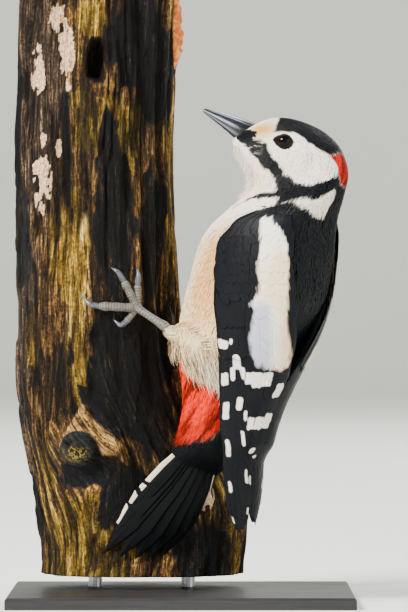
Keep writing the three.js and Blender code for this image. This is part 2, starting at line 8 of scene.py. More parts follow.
import bpy
import numpy as np
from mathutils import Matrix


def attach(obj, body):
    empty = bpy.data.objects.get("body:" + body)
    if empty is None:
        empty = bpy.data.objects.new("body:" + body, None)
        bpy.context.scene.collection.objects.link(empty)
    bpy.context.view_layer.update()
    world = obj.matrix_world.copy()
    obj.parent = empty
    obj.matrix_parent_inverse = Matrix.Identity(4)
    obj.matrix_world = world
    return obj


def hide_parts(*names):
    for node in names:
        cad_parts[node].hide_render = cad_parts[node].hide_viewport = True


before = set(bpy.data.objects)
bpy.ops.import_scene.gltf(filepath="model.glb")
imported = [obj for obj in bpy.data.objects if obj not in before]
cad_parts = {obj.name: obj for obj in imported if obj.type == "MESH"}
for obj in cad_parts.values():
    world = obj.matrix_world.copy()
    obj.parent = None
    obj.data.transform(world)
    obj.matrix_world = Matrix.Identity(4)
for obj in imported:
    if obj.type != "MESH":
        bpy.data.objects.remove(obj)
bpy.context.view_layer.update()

# ------------------------------------------------------------------------------ the studio
# The model stands on a pale floor that curves up into a pale wall all round, as in a light
# tent. A wide soft light hangs over the bird's left shoulder and two weaker ones fill the rest.
camera = bpy.data.objects.new("camera", bpy.data.cameras.new("camera"))
camera.data.lens, camera.data.sensor_width, camera.data.clip_end = 300, 36, 60
camera.location = (0.00966, -2.177, 0.126)
camera.rotation_euler = (math.radians(90), 0, 0)
bpy.context.scene.collection.objects.link(camera)
bpy.context.scene.camera = camera


def net(rows, cols):
    """Triangles of a net of points stored row by row, whose last column joins its first."""
    i = np.arange(rows - 1)[:, None]
    j = np.arange(cols)[None, :]
    a, b = i * cols + j, i * cols + (j + 1) % cols
    return np.stack([a, b, b + cols, a, b + cols, a + cols], -1).reshape(-1, 3)


def stitched(name, points, faces, finish, maps=None, tones=None, soft=True):
    """A mesh object from an array of points in millimetres and one of triangles, shaded smooth if
    soft. maps are UV maps and tones are values or colours, one row for each point."""
    mesh = bpy.data.meshes.new(name)
    points, faces = np.asarray(points).reshape(-1, 3), np.asarray(faces).reshape(-1, 3)
    mesh.vertices.add(len(points))
    mesh.vertices.foreach_set("co", (points / 1000).astype(np.float32).ravel())
    mesh.loops.add(faces.size)
    mesh.loops.foreach_set("vertex_index", faces.astype(np.int32).ravel())
    mesh.polygons.add(len(faces))
    mesh.polygons.foreach_set("loop_start", np.arange(0, faces.size, 3, dtype=np.int32))
    mesh.polygons.foreach_set("use_smooth", np.full(len(faces), soft))
    mesh.update(calc_edges=True)
    for label, uv in (maps or {}).items():
        layer = mesh.uv_layers.new(name=label)
        layer.data.foreach_set("uv", np.asarray(uv, np.float32).reshape(-1, 2)[faces.ravel()].ravel())
    for label, tone in (tones or {}).items():
        tone = np.asarray(tone, np.float32)
        if tone.ndim == 1:
            mesh.attributes.new(label, "FLOAT", "POINT").data.foreach_set("value", tone)
        else:
            full = np.concatenate([tone, np.ones((len(tone), 1), np.float32)], 1)
            mesh.attributes.new(label, "FLOAT_COLOR", "POINT").data.foreach_set("color", full.ravel())
    mesh.materials.append(finish)
    piece = bpy.data.objects.new(name, mesh)
    bpy.context.scene.collection.objects.link(piece)
    return piece


def rgb(code):
    """A hex colour as linear red, green and blue."""
    c = np.array([int(code[i:i + 2], 16) for i in (1, 3, 5)]) / 255
    return np.where(c < 0.04045, c / 12.92, ((c + 0.055) / 1.055) ** 2.4)


def node(tree, kind, feeds, **settings):
    """One shader node. feeds gives its sockets numbers, hex colours or other nodes' sockets; it
    is made in the given tree, or else in the tree of those sockets."""
    tree = tree or next(v.id_data for v in feeds.values() if isinstance(v, bpy.types.NodeSocket))
    made = tree.nodes.new(kind)
    for key, value in settings.items():
        setattr(made, key, value)
    for key, value in feeds.items():
        if isinstance(value, bpy.types.NodeSocket):
            tree.links.new(value, made.inputs[key])
        else:
            made.inputs[key].default_value = (*rgb(value), 1.0) if isinstance(value, str) else value
    return made


def blank(name, **sockets):
    """A material whose Principled shader has the given fixed sockets; returns it and its tree."""
    material = bpy.data.materials.new(name)
    material.use_nodes = True
    shader = material.node_tree.nodes["Principled BSDF"]
    for key, value in sockets.items():
        shader.inputs[key.replace("_", " ")].default_value = value
    return material, material.node_tree


def blend(by, low, high, mode="MIX"):
    """The colour low where by is 0 and high where it is 1; the result's socket."""
    made = node(None, "ShaderNodeMix", {0: by, 6: low, 7: high}, data_type="RGBA", blend_type=mode)
    return made.outputs[2]


def stretch(value, from_low, from_high, to_low=0.0, to_high=1.0):
    """value moved from one range to another and held inside it; the result's socket."""
    return node(None, "ShaderNodeMapRange", {0: value, 1: from_low, 2: from_high, 3: to_low,
                                             4: to_high}).outputs[0]


def where_on(tree, drawn=None, tilt=0.0):
    """Coordinates on the piece in metres, or tilted by degrees and drawn out; their socket."""
    at = node(tree, "ShaderNodeTexCoord", {}).outputs["Object"]
    if drawn:
        at = node(tree, "ShaderNodeMapping", {"Vector": at, "Rotation": (0, math.radians(tilt), 0),
                                              "Scale": drawn}).outputs[0]
    return at


def noise(at, scale, detail=2.0, rough=0.5):
    """A noise over the given coordinates; its value's socket."""
    return node(None, "ShaderNodeTexNoise", {"Vector": at, "Scale": scale, "Detail": detail,
                                             "Roughness": rough}).outputs["Fac"]


def dress(colour, grain, matt, relief=None, span=(0.3, 0.7), height=None):
    """Gives the shader its colour, a roughness that runs through the range matt as grain runs
    through span, and a bump of the height, or of grain, with a strength and a depth in metres."""
    tree = colour.id_data
    shader = tree.nodes["Principled BSDF"]
    tree.links.new(colour, shader.inputs["Base Color"])
    tree.links.new(stretch(grain, *span, *matt), shader.inputs["Roughness"])
    if relief:
        bump = node(tree, "ShaderNodeBump", {"Height": grain if height is None else height,
                                             "Strength": relief[0], "Distance": relief[1]})
        tree.links.new(bump.outputs["Normal"], shader.inputs["Normal"])


paper, tree = blank("studio_paper")
pulp = noise(where_on(tree), 3.0)
dress(blend(pulp, "#efefe8", "#f4f4ee"), pulp, (0.9, 0.9))

FLOOR, COVE = 5200, 2200  # how far the floor runs out, and the radius of its bend up to the wall
along = np.linspace(0, 1, 49)[:, None]  # half of it out along the floor, half up the wall
bend = np.maximum(along - 0.5, 0) * math.pi
out = np.where(along < 0.5, along * 2 * FLOOR + 1, FLOOR + COVE * np.sin(bend))
up = COVE * (1 - np.cos(bend)) + np.maximum(along - 0.9, 0) * 20000
turn = np.linspace(0, 2 * math.pi, 96, endpoint=False)[None, :]
tent = np.stack([out * np.cos(turn), out * np.sin(turn), up + 0 * turn], -1)
stitched("studio_floor", tent, net(49, 96), paper)

for name, place, power, size, tint in (
    ("key", (-1.9, -2.0, 2.2), 330, 1.1, (1.0, 0.97, 0.92)),
    ("fill", (2.2, -1.9, 0.9), 40, 1.8, (0.95, 0.98, 1.0)),
    ("rim", (1.4, 2.4, 2.2), 90, 1.5, (1.0, 1.0, 0.96)),
):
    lamp = bpy.data.lights.new(name, "AREA")
    lamp.energy, lamp.size, lamp.color = power, size, tint
    hung = bpy.data.objects.new(name, lamp)
    hung.location = place
    aim = np.array([0, -0.02, 0.13]) - np.array(place)
    hung.rotation_euler = (math.atan2(math.hypot(aim[0], aim[1]), -aim[2]), 0,
                           math.atan2(aim[1], aim[0]) - math.pi / 2)
    bpy.context.scene.collection.objects.link(hung)
sky = bpy.context.scene.world or bpy.data.worlds.new("sky")
bpy.context.scene.world = sky
sky.use_nodes = True
sky.node_tree.nodes["Background"].inputs["Color"].default_value = (0.93, 0.97, 1.0, 1)
sky.node_tree.nodes["Background"].inputs["Strength"].default_value = 0.72

# ------------------------------------------------------------------------------- the stand
# A flat board of black-stained beech with a small bevel, and two short bright steel rods
# screwed into the foot of the trunk.
stain, tree = blank("stand_stain", Specular_IOR_Level=0.4)
pores = noise(where_on(tree, (40, 900, 900)), 1.0, 6.0)
dress(blend(pores, "#17171a", "#2c2a2b"), pores, (0.34, 0.5), (0.25, 0.0003))
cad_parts["stand_base"].material_slots[0].material = stain

steel, tree = blank("stand_steel", Metallic=1.0)
turned = noise(where_on(tree, (300, 300, 5000)), 1.0)
dress(blend(turned, "#9b9da0", "#c9cacc"), turned, (0.25, 0.4))
for rod in ("stand_rod_1", "stand_rod_2"):
    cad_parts[rod].material_slots[0].material = steel

# ------------------------------------------------------------------------------- the trunk
# A cut length of dead hardwood without its bark, split and furrowed along the grain, charred
# dark with rot in places and bleached in others. It has an old feeding hole, and the stub of a
# side branch with a hollow under it.
TRUNK = np.array([  # height, middle x and y, half-width across x and y, from foot to sawn top
    (10.5, -17.2, 24.0, 43.0, 33.0), (24, -16.8, 23, 43.6, 33), (40, -18.6, 19, 44, 32.5),
    (56, -22.5, 14, 42.5, 32), (72, -28.5, 9, 39.8, 32), (92, -34, 4.5, 37, 32.5),
    (118, -36, 1, 34.8, 33), (150, -36.8, -1, 33.8, 33), (190, -37.3, -2.5, 33, 32.5),
    (228, -36.2, -4, 33, 32), (265, -35.3, -5, 33, 31.5)])


def smooth(rows, place):
    """Rows of a table read at a fractional row number, on the Catmull-Rom curve through them;
    past its ends the table goes on in a straight line."""
    rows = np.asarray(rows, float)
    full = np.vstack([2 * rows[0] - rows[1], rows, 2 * rows[-1] - rows[-2]])
    place = np.clip(np.asarray(place, float), 0, len(rows) - 1)
    i = np.minimum(place.astype(int), len(rows) - 2)
    f = (place - i)[..., None]
    a, b, c, d = full[i], full[i + 1], full[i + 2], full[i + 3]
    return 0.5 * (2 * b + (c - a) * f + (2 * a - 5 * b + 4 * c - d) * f ** 2
                  + (3 * b - a - 3 * c + d) * f ** 3)


def drift(p, size, seed, octaves=3):
    """Soft noise from 0 to 1: hashed numbers at the corners of cells of the given size along
    each axis, blended by 3f^2-2f^3, and summed over octaves of half the size and strength."""
    total, weight = 0, 0
    for k in range(octaves):
        q = np.asarray(p) / (np.asarray(size, float) / 2 ** k) + 31.7 * k
        cell = np.floor(q).astype(np.int64)
        f = q - cell
        f = f * f * (3 - 2 * f)
        value = 0
        for corner in range(8):
            pick = np.array([corner & 1, corner >> 1 & 1, corner >> 2])
            n = ((cell + pick) * np.array([73856093, 19349663, 83492791])).sum(-1)
            n = n + seed * 7919 + k * 104729
            n = (n ^ (n >> 13)) & 0xFFFFFFFF
            n = (n * 1274126177) & 0xFFFFFFFF
            n = ((n ^ (n >> 16)) * 2246822519) & 0xFFFFFFFF
            near = np.prod(np.where(pick, f, 1 - f), -1)
            value = value + near * ((n ^ (n >> 15)) & 0xFFFF) / 65535
        total, weight = total + value / 2 ** k, weight + 1 / 2 ** k
    return total / weight


def step(low, high, x):
    """0 below low and 1 above high, with a smooth rise 3f^2-2f^3 between them."""
    f = np.clip((x - low) / (high - low), 0, 1)
    return f * f * (3 - 2 * f)


def bell(turn, z, at, height, wide, tall, flat=1):
    """1 at a place on the trunk (turn and width in degrees), falling away as a bell whose top is
    the flatter for a higher power."""
    off = np.angle(np.exp(1j * (turn - math.radians(at))))
    return np.exp(-((off / math.radians(wide)) ** 2 + ((z - height) / tall) ** 2) ** flat)


def trunk_skin(turn, z, swell=0):
    """A point of the trunk's skin: an oval at each height with low waves that wind round it, a
    bell-shaped swelling low on its right side, and fourteen rounded ribs of grain, the absolute
    sine of the warped turn. The ribs die out where toes and tail press on the wood, and under
    the stub there is a bell-shaped hollow."""
    rows = smooth(TRUNK, np.interp(z, TRUNK[:, 0], np.arange(len(TRUNK))))
    x, y, rx, ry = (rows[..., k] for k in (1, 2, 3, 4))
    burl = 3.5 * bell(turn, z, -14, 46, 30, 20)
    waves = 0.9 * np.sin(5 * turn + z / 70) + 0.6 * np.sin(9 * turn - z / 45)
    warped = turn + 0.2 * np.sin(2 * turn + z / 90) + 0.12 * np.sin(3 * turn - z / 50)
    wave = np.abs(np.sin(7 * warped + 0.9 * np.sin(z / 38)))
    still = 1.0
    for pressed in ((-76, 129, 27, 15), (-90, 27, 30, 15), (46, 112, 24, 14)):
        still = still * (1 - 0.9 * bell(turn, z, *pressed, 2))
    ribs = 1.15 * (2 * wave - 1.27) * (0.8 + 0.35 * np.sin(3 * turn + z / 60)) * still
    ribs = ribs - 2.4 * bell(turn, z, -110, 54, 20, 8)
    more = 1 + (burl + waves + ribs + swell) / rx
    return np.stack([x + rx * more * np.cos(turn), y + ry * more * np.sin(turn), z + 0 * turn], -1)


def blob(x, z, cx, cz, wide, tall, soft=0.5):
    """1 inside an oval patch, fading to 0 across its soft rim."""
    return step(1 + soft, 1 - soft, np.hypot((x - cx) / wide, (z - cz) / tall))


def inside(outline, p):
    """Distance from points to a closed outline, positive inside it: the nearest of its edges
    gives the distance, and the count of edges crossed gives the sign."""
    a = np.asarray(outline, float)
    b = np.roll(a, -1, 0)
    best, odd = np.full(p.shape[:-1], 1e9), np.zeros(p.shape[:-1], bool)
    for (ax, ay), (bx, by) in zip(a, b):
        dx, dy = bx - ax, by - ay
        f = np.clip(((p[..., 0] - ax) * dx + (p[..., 1] - ay) * dy) / (dx * dx + dy * dy + 1e-9), 0, 1)
        best = np.minimum(best, np.hypot(p[..., 0] - ax - f * dx, p[..., 1] - ay - f * dy))
        level = (ay > p[..., 1]) != (by > p[..., 1])
        odd ^= level & (p[..., 0] < ax + (p[..., 1] - ay) * dx / (dy if abs(dy) > 1e-9 else 1e-9))
    return np.where(odd, best, -best)


def closed_forms(rings, tips):
    """Points and triangles of many like forms. Each is a row of rings, shut by a pole at the
    middle of its first ring and one at its tip."""
    count, deep, around, _ = rings.shape
    each = deep * around + 2
    poles = np.stack([rings[:, 0].mean(1), tips], 1)
    points = np.concatenate([rings.reshape(count, -1, 3), poles], 1)
    k = np.arange(around)
    end = (deep - 1) * around
    one = np.concatenate([net(deep, around), np.stack([(k + 1) % around, k, 0 * k + each - 2], -1),
                          np.stack([end + k, end + (k + 1) % around, 0 * k + each - 1], -1)])
    a, b, c = (points[0][one[:, i]] - points[0].mean(0) for i in range(3))
    if (a * np.cross(b, c)).sum() < 0:
        one = one[:, ::-1]
    return points.reshape(-1, 3), (one[None] + each * np.arange(count)[:, None, None]).reshape(-1, 3)


COLUMNS, ROWS = 352, 262
FOOT, TOP = TRUNK[0, 0], TRUNK[-1, 0]
z, turn = np.meshgrid(np.linspace(FOOT, TOP, ROWS),
                      np.linspace(0.5 * math.pi, 2.5 * math.pi, COLUMNS, endpoint=False), indexing="ij")
plain = trunk_skin(turn, z)
x, y = plain[..., 0], plain[..., 1]
front = step(0.2, -0.35, np.sin(turn))  # 1 on the side that the bird's left foot holds

# The grain climbs the trunk, wanders, and parts round the stub as water parts round a stone.
GIRTH_R = 38  # the mean radius by which turns round the trunk become millimetres of grain
KNOT_X, KNOT_Z, KNOT_R = -42.4, 65.5, 7.4
HOLE_X, HOLE_Z, HOLE_WIDE, HOLE_TALL = -35.5, 229.0, 4.6, 9.4
reach = (x - KNOT_X) ** 2 + ((z - KNOT_Z) * 0.75) ** 2
parted = -(x - KNOT_X) * np.minimum(130 / np.maximum(reach, 60), 0.62) * front
wander = 4.5 * (drift(plain, (26, 26, 60), 3) - 0.5)
bent = turn + (wander + parted) / GIRTH_R
grain = np.stack([GIRTH_R * np.cos(bent), GIRTH_R * np.sin(bent), z / 11], -1)
furrow = 1 - np.abs(2 * drift(grain, 4.2, 11, 3) - 1)
crack = step(0.86, 0.99, 1 - np.abs(2 * drift(grain, (7, 7, 6), 14, 2) - 1))
crack = crack * step(0.35, 0.6, drift(plain, (14, 14, 30), 15, 2))
fibre = drift(grain, (1.5, 1.5, 2.2), 12, 2)
flake = step(0.5, 0.56, drift(plain + 2 * wander[..., None], (7, 7, 30), 13, 3))
crumble = drift(plain, (2.2, 2.2, 3.0), 16, 2) - 0.5

back = 1 - front
knot_off = np.hypot(x - KNOT_X, z - KNOT_Z) + 40 * back + 1.4 * (drift(plain, 5, 5) - 0.5)
hole_off = (np.hypot((x - HOLE_X) / HOLE_WIDE, (z - HOLE_Z) / HOLE_TALL) + 9 * back
            + 0.5 * (drift(plain, (4, 4, 7), 6) - 0.5))
COLLAR = [(-41.6, 84.5), (-46.5, 76), (-50.2, 67.5), (-49.5, 62), (-46, 69.5), (-41.5, 74),
          (-36, 69), (-33, 63), (-27, 62.5), (-24.5, 67), (-30, 72), (-36.5, 77)]
lip = inside(COLLAR, np.stack([x, z], -1)) - 40 * back + crumble
held = np.maximum(  # places where toes or tail press on the wood stay near its plain skin
    front * blob(x, z, -27, 129, 14, 13, 0.4), front * blob(x, z, -16, 29, 20, 14, 0.4))
held = np.maximum(held, step(0.2, 0.6, np.sin(turn)) * blob(x, z, -10, 112, 14, 12, 0.4))


def patches(rows, soft=0.45, size=6.0, ragged=0.9):
    """The strongest of several soft patches: ovals whose rims a fine drift pulls in and out."""
    rim = np.maximum(1 + ragged * (2 * drift(plain, (size, size, 2.2 * size), 31, 3) - 1), 0.7)
    return np.max([w * step(1 + soft, 1 - soft, rim * np.hypot((x - cx) / a, (z - cz) / b))
                   for cx, cz, a, b, w in rows], 0) * front


# Patches as (middle x, middle height, half-width, half-height, strength) on the front, and as
# drifts of their own round the back.
rot = patches([(-16.6, 237.7, 12.8, 21, 1), (-9, 220, 5.3, 18.5, 1), (-28.1, 158.8, 8.4, 33, 1),
               (-31, 194.5, 3, 10.5, 1), (-12, 157, 4.8, 31, 1), (-20.2, 95.8, 18.9, 30, 1),
               (-37, 55.4, 13, 6.7, 1), (-48.5, 193.2, 2.3, 19, 0.8), (-66.8, 149.5, 3.4, 19, 0.75),
               (8, 19.3, 10.5, 17, 0.7), (-24, 44, 10, 16, 0.7), (-70, 205, 2, 40, 0.6)])
gold = patches([(-37.8, 247, 7.6, 10.5, 1), (-39.1, 205, 6.3, 12.6, 0.9), (-23.1, 197.4, 7.1, 18.5, 1),
                (-5.5, 199, 2.5, 11.8, 1), (-4.6, 158, 2.1, 29, 0.9), (-43.7, 107.5, 4.2, 29, 1),
                (-62.3, 113, 2.9, 11, 0.9), (-46.6, 149.5, 10, 23, 0.75), (-40.3, 21.4, 19, 25, 0.7),
                (16.8, 47.5, 3.4, 5.9, 1), (23.1, 19.3, 3.8, 17, 0.7), (-4.6, 86.5, 3.4, 17, 0.5),
                (-57, 60, 4, 22, 0.5)])
pale = patches([(-52.5, 247.4, 3.4, 4.6, 1), (-48.7, 233.1, 2.9, 8, 1), (-47.6, 218, 1.7, 2.9, 1),
                (-60.4, 224.5, 2.3, 9.2, 1), (-58.8, 181, 2.9, 12.6, 1), (-51.7, 192.4, 1.3, 2.9, 1),
                (10.3, 45.8, 3, 5, 0.8)], 0.12, 2.1, 1.5)
grey = patches([(-62, 215, 12, 60, 1), (-68, 120, 7, 60, 0.9), (-34, 190, 7, 30, 0.4),
                (20, 40, 12, 30, 0.5)], 0.9)
grey = np.clip(grey + back * step(0.45, 0.6, drift(plain, (34, 34, 80), 24)), 0, 1)
rot = np.clip(rot + back * step(0.47, 0.6, drift(plain, (30, 30, 90), 21)), 0, 1)
gold = np.clip(gold + back * step(0.5, 0.62, drift(plain, (18, 18, 70), 22)), 0, 1)
pale = np.clip(pale + back * step(0.68, 0.74, drift(plain, (12, 12, 40), 23)), 0, 1)

relief = (-1.1 * (furrow ** 2 - 0.35) - 1.5 * crack + 0.7 * (fibre - 0.5) - 0.8 * (flake - 0.5)
          + 0.5 * rot * crumble - 0.5 * rot) * (1 - 0.8 * held)
stub = step(KNOT_R + 1.2, KNOT_R - 0.8, knot_off)
raised = step(-1.2, 0.8, lip)
welt = 1.2 * np.exp(-((knot_off - KNOT_R - 2) / 2.2) ** 2)  # wood that once grew up round the branch
relief = relief * (1 - 0.6 * raised) + 2.2 * raised + welt * (1 - raised)
relief = relief * (1 - stub) + stub * (3.6 - 1.6 * blob(x, z, KNOT_X + 1, KNOT_Z - 0.5, 2.0, 1.8, 0.4)
                                       - 1.3 * blob(x, z, KNOT_X - 3.2, KNOT_Z + 1.6, 1.7, 1.4, 0.4)
                                       + 1.5 * crumble)
relief = relief - 11 * step(1.08, 0.72, hole_off)
wood = trunk_skin(turn, z, relief)
top = trunk_skin(turn[0], z[-1], relief[-1])  # the sawn end: rings drawn in to its middle
heart = top.mean(0)
shrink = np.linspace(1, 0, 8)[1:-1, None, None]
saw = heart + (top - heart) * shrink
saw[..., 2] = TOP - 0.35 * drift(saw, 3, 8, 2) - 0.5 * (shrink[..., 0] < 0.9)
foot = trunk_skin(turn[0], z[0], relief[0])
under = foot.mean(0) + (foot - foot.mean(0)) * np.linspace(0, 1, 6)[1:-1, None, None]
points, faces = closed_forms(np.concatenate([under, wood, saw])[None], heart[None])


def over_all(value, low=0.0, high=0.0):
    """A value of the bark's net carried to every point: one number for foot and sawn end."""
    return np.concatenate([np.full(len(under) * COLUMNS, low), value.ravel(),
                           np.full(len(saw) * COLUMNS, high), [low, high]])


def years(p, middle):
    """Where a point of a sawn end lies in its growth rings: fast outwards, slow round them."""
    off = (p - middle)[..., :2].reshape(-1, 2)
    far = np.hypot(*off.T)[:, None]
    return np.concatenate([2.6 * far, 2.2 * off / (far + 1)], 1)


# Painted shade: furrows, cracks, lifted flakes and the inside of the feeding hole are darkened towards near
# black, as shade in the wood's hollows. The darkening is weaker on the stub, the raised collar and the pale
# patches.
deep = np.clip(0.75 * step(0.62, 0.95, furrow) + 0.9 * crack + 1.6 * step(1.12, 0.98, hole_off)
               + 0.35 * flake, 0, 1) * (1 - 0.6 * stub) * (1 - 0.6 * raised) * (1 - 0.8 * pale)
tones = {"rot": over_all(rot), "gold": over_all(gold, 0, 0.5), "pale": over_all(pale, 0, 0.25),
         "deep": over_all(deep), "grey": over_all(grey), "knot": over_all(knot_off, 60, 60),
         "arcs": over_all(blob(x, z, KNOT_X - 0.6, KNOT_Z - 1.6, 4.4, 3.2, 0.6)),
         "lip": over_all(lip, -60, -60),
         "grain": np.concatenate([years(under, foot.mean(0)), grain.reshape(-1, 3), years(saw, heart),
                                  np.zeros((2, 3))])}

weathered, tree = blank("dead_wood", Specular_IOR_Level=0.14)


def tone(tree, name, kind="Fac"):
    """The value that the mesh carries under this name; its socket."""
    return node(tree, "ShaderNodeAttribute", {}, attribute_name=name).outputs[kind]


def plus(a, b, how="ADD"):
    """The sum of two values, or what else is named; its socket."""
    return node(None, "ShaderNodeMath", {0: a, 1: b}, operation=how).outputs[0]


def times(a, b):
    """The product of two values; its socket."""
    return plus(a, b, "MULTIPLY")


def ramp(value, colours):
    """Four colours in turn, as the weave of the grain grows from its dark to its bright strands."""
    made = blend(stretch(value, 1.14, 1.38), colours[0], colours[1])
    made = blend(stretch(value, 1.36, 1.54), made, colours[2])
    return blend(stretch(value, 1.52, 1.70), made, colours[3])


where, drawn = where_on(tree), tone(tree, "grain", "Vector")
fibre, strand = noise(drawn, 2.0, 3.0, 0.65), noise(drawn, 0.62, 4.0, 0.65)
board, grit = noise(drawn, 0.19, 3.0, 0.65), noise(where, 800.0, 4.0, 0.65)
cells = node(tree, "ShaderNodeTexVoronoi", {"Vector": where, "Scale": 520.0},
             feature="DISTANCE_TO_EDGE").outputs["Distance"]
weave = plus(plus(times(fibre, 0.8), strand), times(plus(grit, board), 0.5))
body = ramp(weave, ("#0c0805", "#3d2a18", "#93692f", "#eec27c"))
grey = ramp(weave, ("#0c0907", "#33271d", "#6f5740", "#c8a988"))
greyed = plus(tone(tree, "grey"), times(strand, 0.9))
body = blend(stretch(greyed, 0.85, 1.05), body, grey)
golden = ramp(weave, ("#1c1304", "#6a4f14", "#b08d33", "#f4d488"))
golds = plus(tone(tree, "gold"), plus(times(strand, 1.2), times(fibre, 0.6)))
body = blend(stretch(golds, 1.28, 1.44), body, golden)
chalk = blend(stretch(grit, 0.38, 0.6), "#c98a55", "#f6dcbc")
limed = plus(tone(tree, "pale"), times(grit, 0.9))
body = blend(stretch(limed, 0.86, 0.94), body, chalk)
soot = ramp(weave, ("#010102", "#07080b", "#14171c", "#5e4a28"))
mould = plus(times(strand, 1.3), times(plus(fibre, grit), 0.6))
rots = plus(tone(tree, "rot"), mould)
body = blend(stretch(rots, 1.64, 1.74), body, soot)
tan = blend(stretch(fibre, 0.38, 0.62), "#4e3117", "#d6a862")
rims = stretch(plus(cells, times(grit, 0.5)), 0.29, 0.24)
tan = blend(rims, tan, "#1a0f07")
body = blend(stretch(tone(tree, "lip"), -0.5, 0.4), body, tan)
off = tone(tree, "knot")
circles = plus(plus(times(off, 2.6), times(grit, 22.0)), 0.0, "SINE")
char = blend(stretch(fibre, 0.4, 0.7), "#08090a", "#2d3235")
arcs = times(stretch(plus(circles, grit), 0.7, 1.2), tone(tree, "arcs"))
char = blend(arcs, char, "#8f7a2c")
body = blend(stretch(off, 8.0, 7.4), body, char)
apart = plus(plus(noise(drawn, 0.85), -0.5), 0.0, "ABSOLUTE")
split = times(stretch(apart, 0.016, 0.006), stretch(board, 0.44, 0.52))
# Painted shade: the thin splits along the grain, and the hollows that the deep tone marks, are blended
# towards near black.
shade = times(plus(split, tone(tree, "deep"), "MAXIMUM"), 0.92)
rough = plus(plus(times(fibre, 0.7), times(strand, 1.4)), times(grit, 0.5))
dress(blend(shade, body, "#060403"), fibre, (0.6, 0.9), (1.0, 0.0014),
      height=plus(rough, times(split, -0.5)))

trunk = stitched("trunk", points, faces, weathered, tones=tones)
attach(trunk, "root")
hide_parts("perch_trunk")

# ------------------------------------------------------------------------------ the fungus
# A dry orange crust that grew along the trunk's right edge, thick in its middle and lumpy.
crust, tree = blank("fungus_crust", Specular_IOR_Level=0.2)
lumps, hue = noise(where_on(tree), 420.0, 5.0), noise(where_on(tree), 90.0)
ochre = blend(stretch(hue, 0.35, 0.65), "#d97224", "#f5ad66")
dress(blend(stretch(lumps, 0.35, 0.7), "#a84e14", ochre), lumps, (0.75, 0.95),
      (0.8, 0.0008))
climb = np.linspace(-1, 1, 90)[:, None]
round_it = np.linspace(0, 2 * math.pi, 40, endpoint=False)[None, :]
full = np.sqrt(np.maximum(0.02, 1 - climb ** 2))
across = math.radians(-4) + 9 * full / 64 * np.cos(round_it)
at = trunk_skin(across, 243 + 16.5 * climb + 0 * round_it, -1.2)  # just under the wood's skin
lumpy = 0.2 + 1.5 * drift(at + 7, (2.6, 2.6, 3.6), 9, 3)
at[..., 0] += (2.8 * lumpy + 1.2) * full * (1 + np.sin(round_it)) / 2
fungus = stitched("fungus", *closed_forms(at[None], at[None, -1].mean(1)), crust)
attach(fungus, "root")
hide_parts("perch_fungus")

# ------------------------------------------------------------------- the skin of the bird
# One skin from the bill's root to the tail's, drawn out over both thighs. It lies under the
# plumage by the depth of the coat, and carries the same markings.
BODY = np.array([  # middle x, y, z; lean, yaw, swing in degrees; depth from back to belly, width
    (26.0, -43.5, 198.6, 34, 0, 0, 12.1, 9.5), (28.8, -43.5, 197.6, 45, 0, 0, 16.8, 16.5),
    (32.1, -43.5, 196.1, 50, 0, 0, 22.5, 22), (36.5, -43.5, 193.7, 50, 0, 0, 28.2, 25.5),
    (40.8, -43.5, 190.2, 45, 0, 0, 34.5, 28), (44.2, -43.3, 186, 37, 2, 0, 41.2, 30),
    (45.2, -42.8, 180.4, 27, 8, 0, 49.1, 32), (43.8, -41.6, 172.9, 18, 18, 0, 56, 36),
    (39.8, -40.3, 164.8, 13, 28, 0, 59.9, 42), (36.3, -37.7, 155.6, 10, 35, 0, 60.9, 47),
    (33.8, -35.9, 141.1, 5, 38, 0, 62, 50), (30.7, -33.5, 126.8, 1, 38, 0, 62.2, 50),
    (25, -29.6, 113.2, -4, 39, 4, 53, 46), (19.2, -25, 97, -12, 43, 10, 40, 39),
    (15, -22, 79.6, -18, 52, 20, 27, 32), (9.8, -18.4, 67, -25, 64, 30, 20, 27),
    (4.4, -15.8, 58.6, -30, 76, 35, 7, 22.5)])
DEEP = np.array([0.6, 0.8, 1.0, 1.2, 1.5, 1.9, 2.3, 2.7, 3.0, 3.0, 3.0, 3.0, 3.0, 2.8, 2.3, 1.8, 1.0])
OVALS = np.arange(len(BODY))  # the coat is DEEP above the skin at each of them
THIGHS = [(np.array([12.5, -38.0, 108.5]), np.array([-5.0, -41.0, 116.2])),  # hip and ankle
          (np.array([27.0, -12.5, 107.0]), np.array([15.5, 2.5, 101.5]))]
THIGH_R, MIDRIFF_Y = 9.8, -20  # the belly's middle parts what belongs to either thigh


def squarer(c):
    """The power 2/2.25 of a cosine or sine, which makes an ellipse a little squarer."""
    return np.sign(c) * np.abs(c) ** (2 / 2.25)


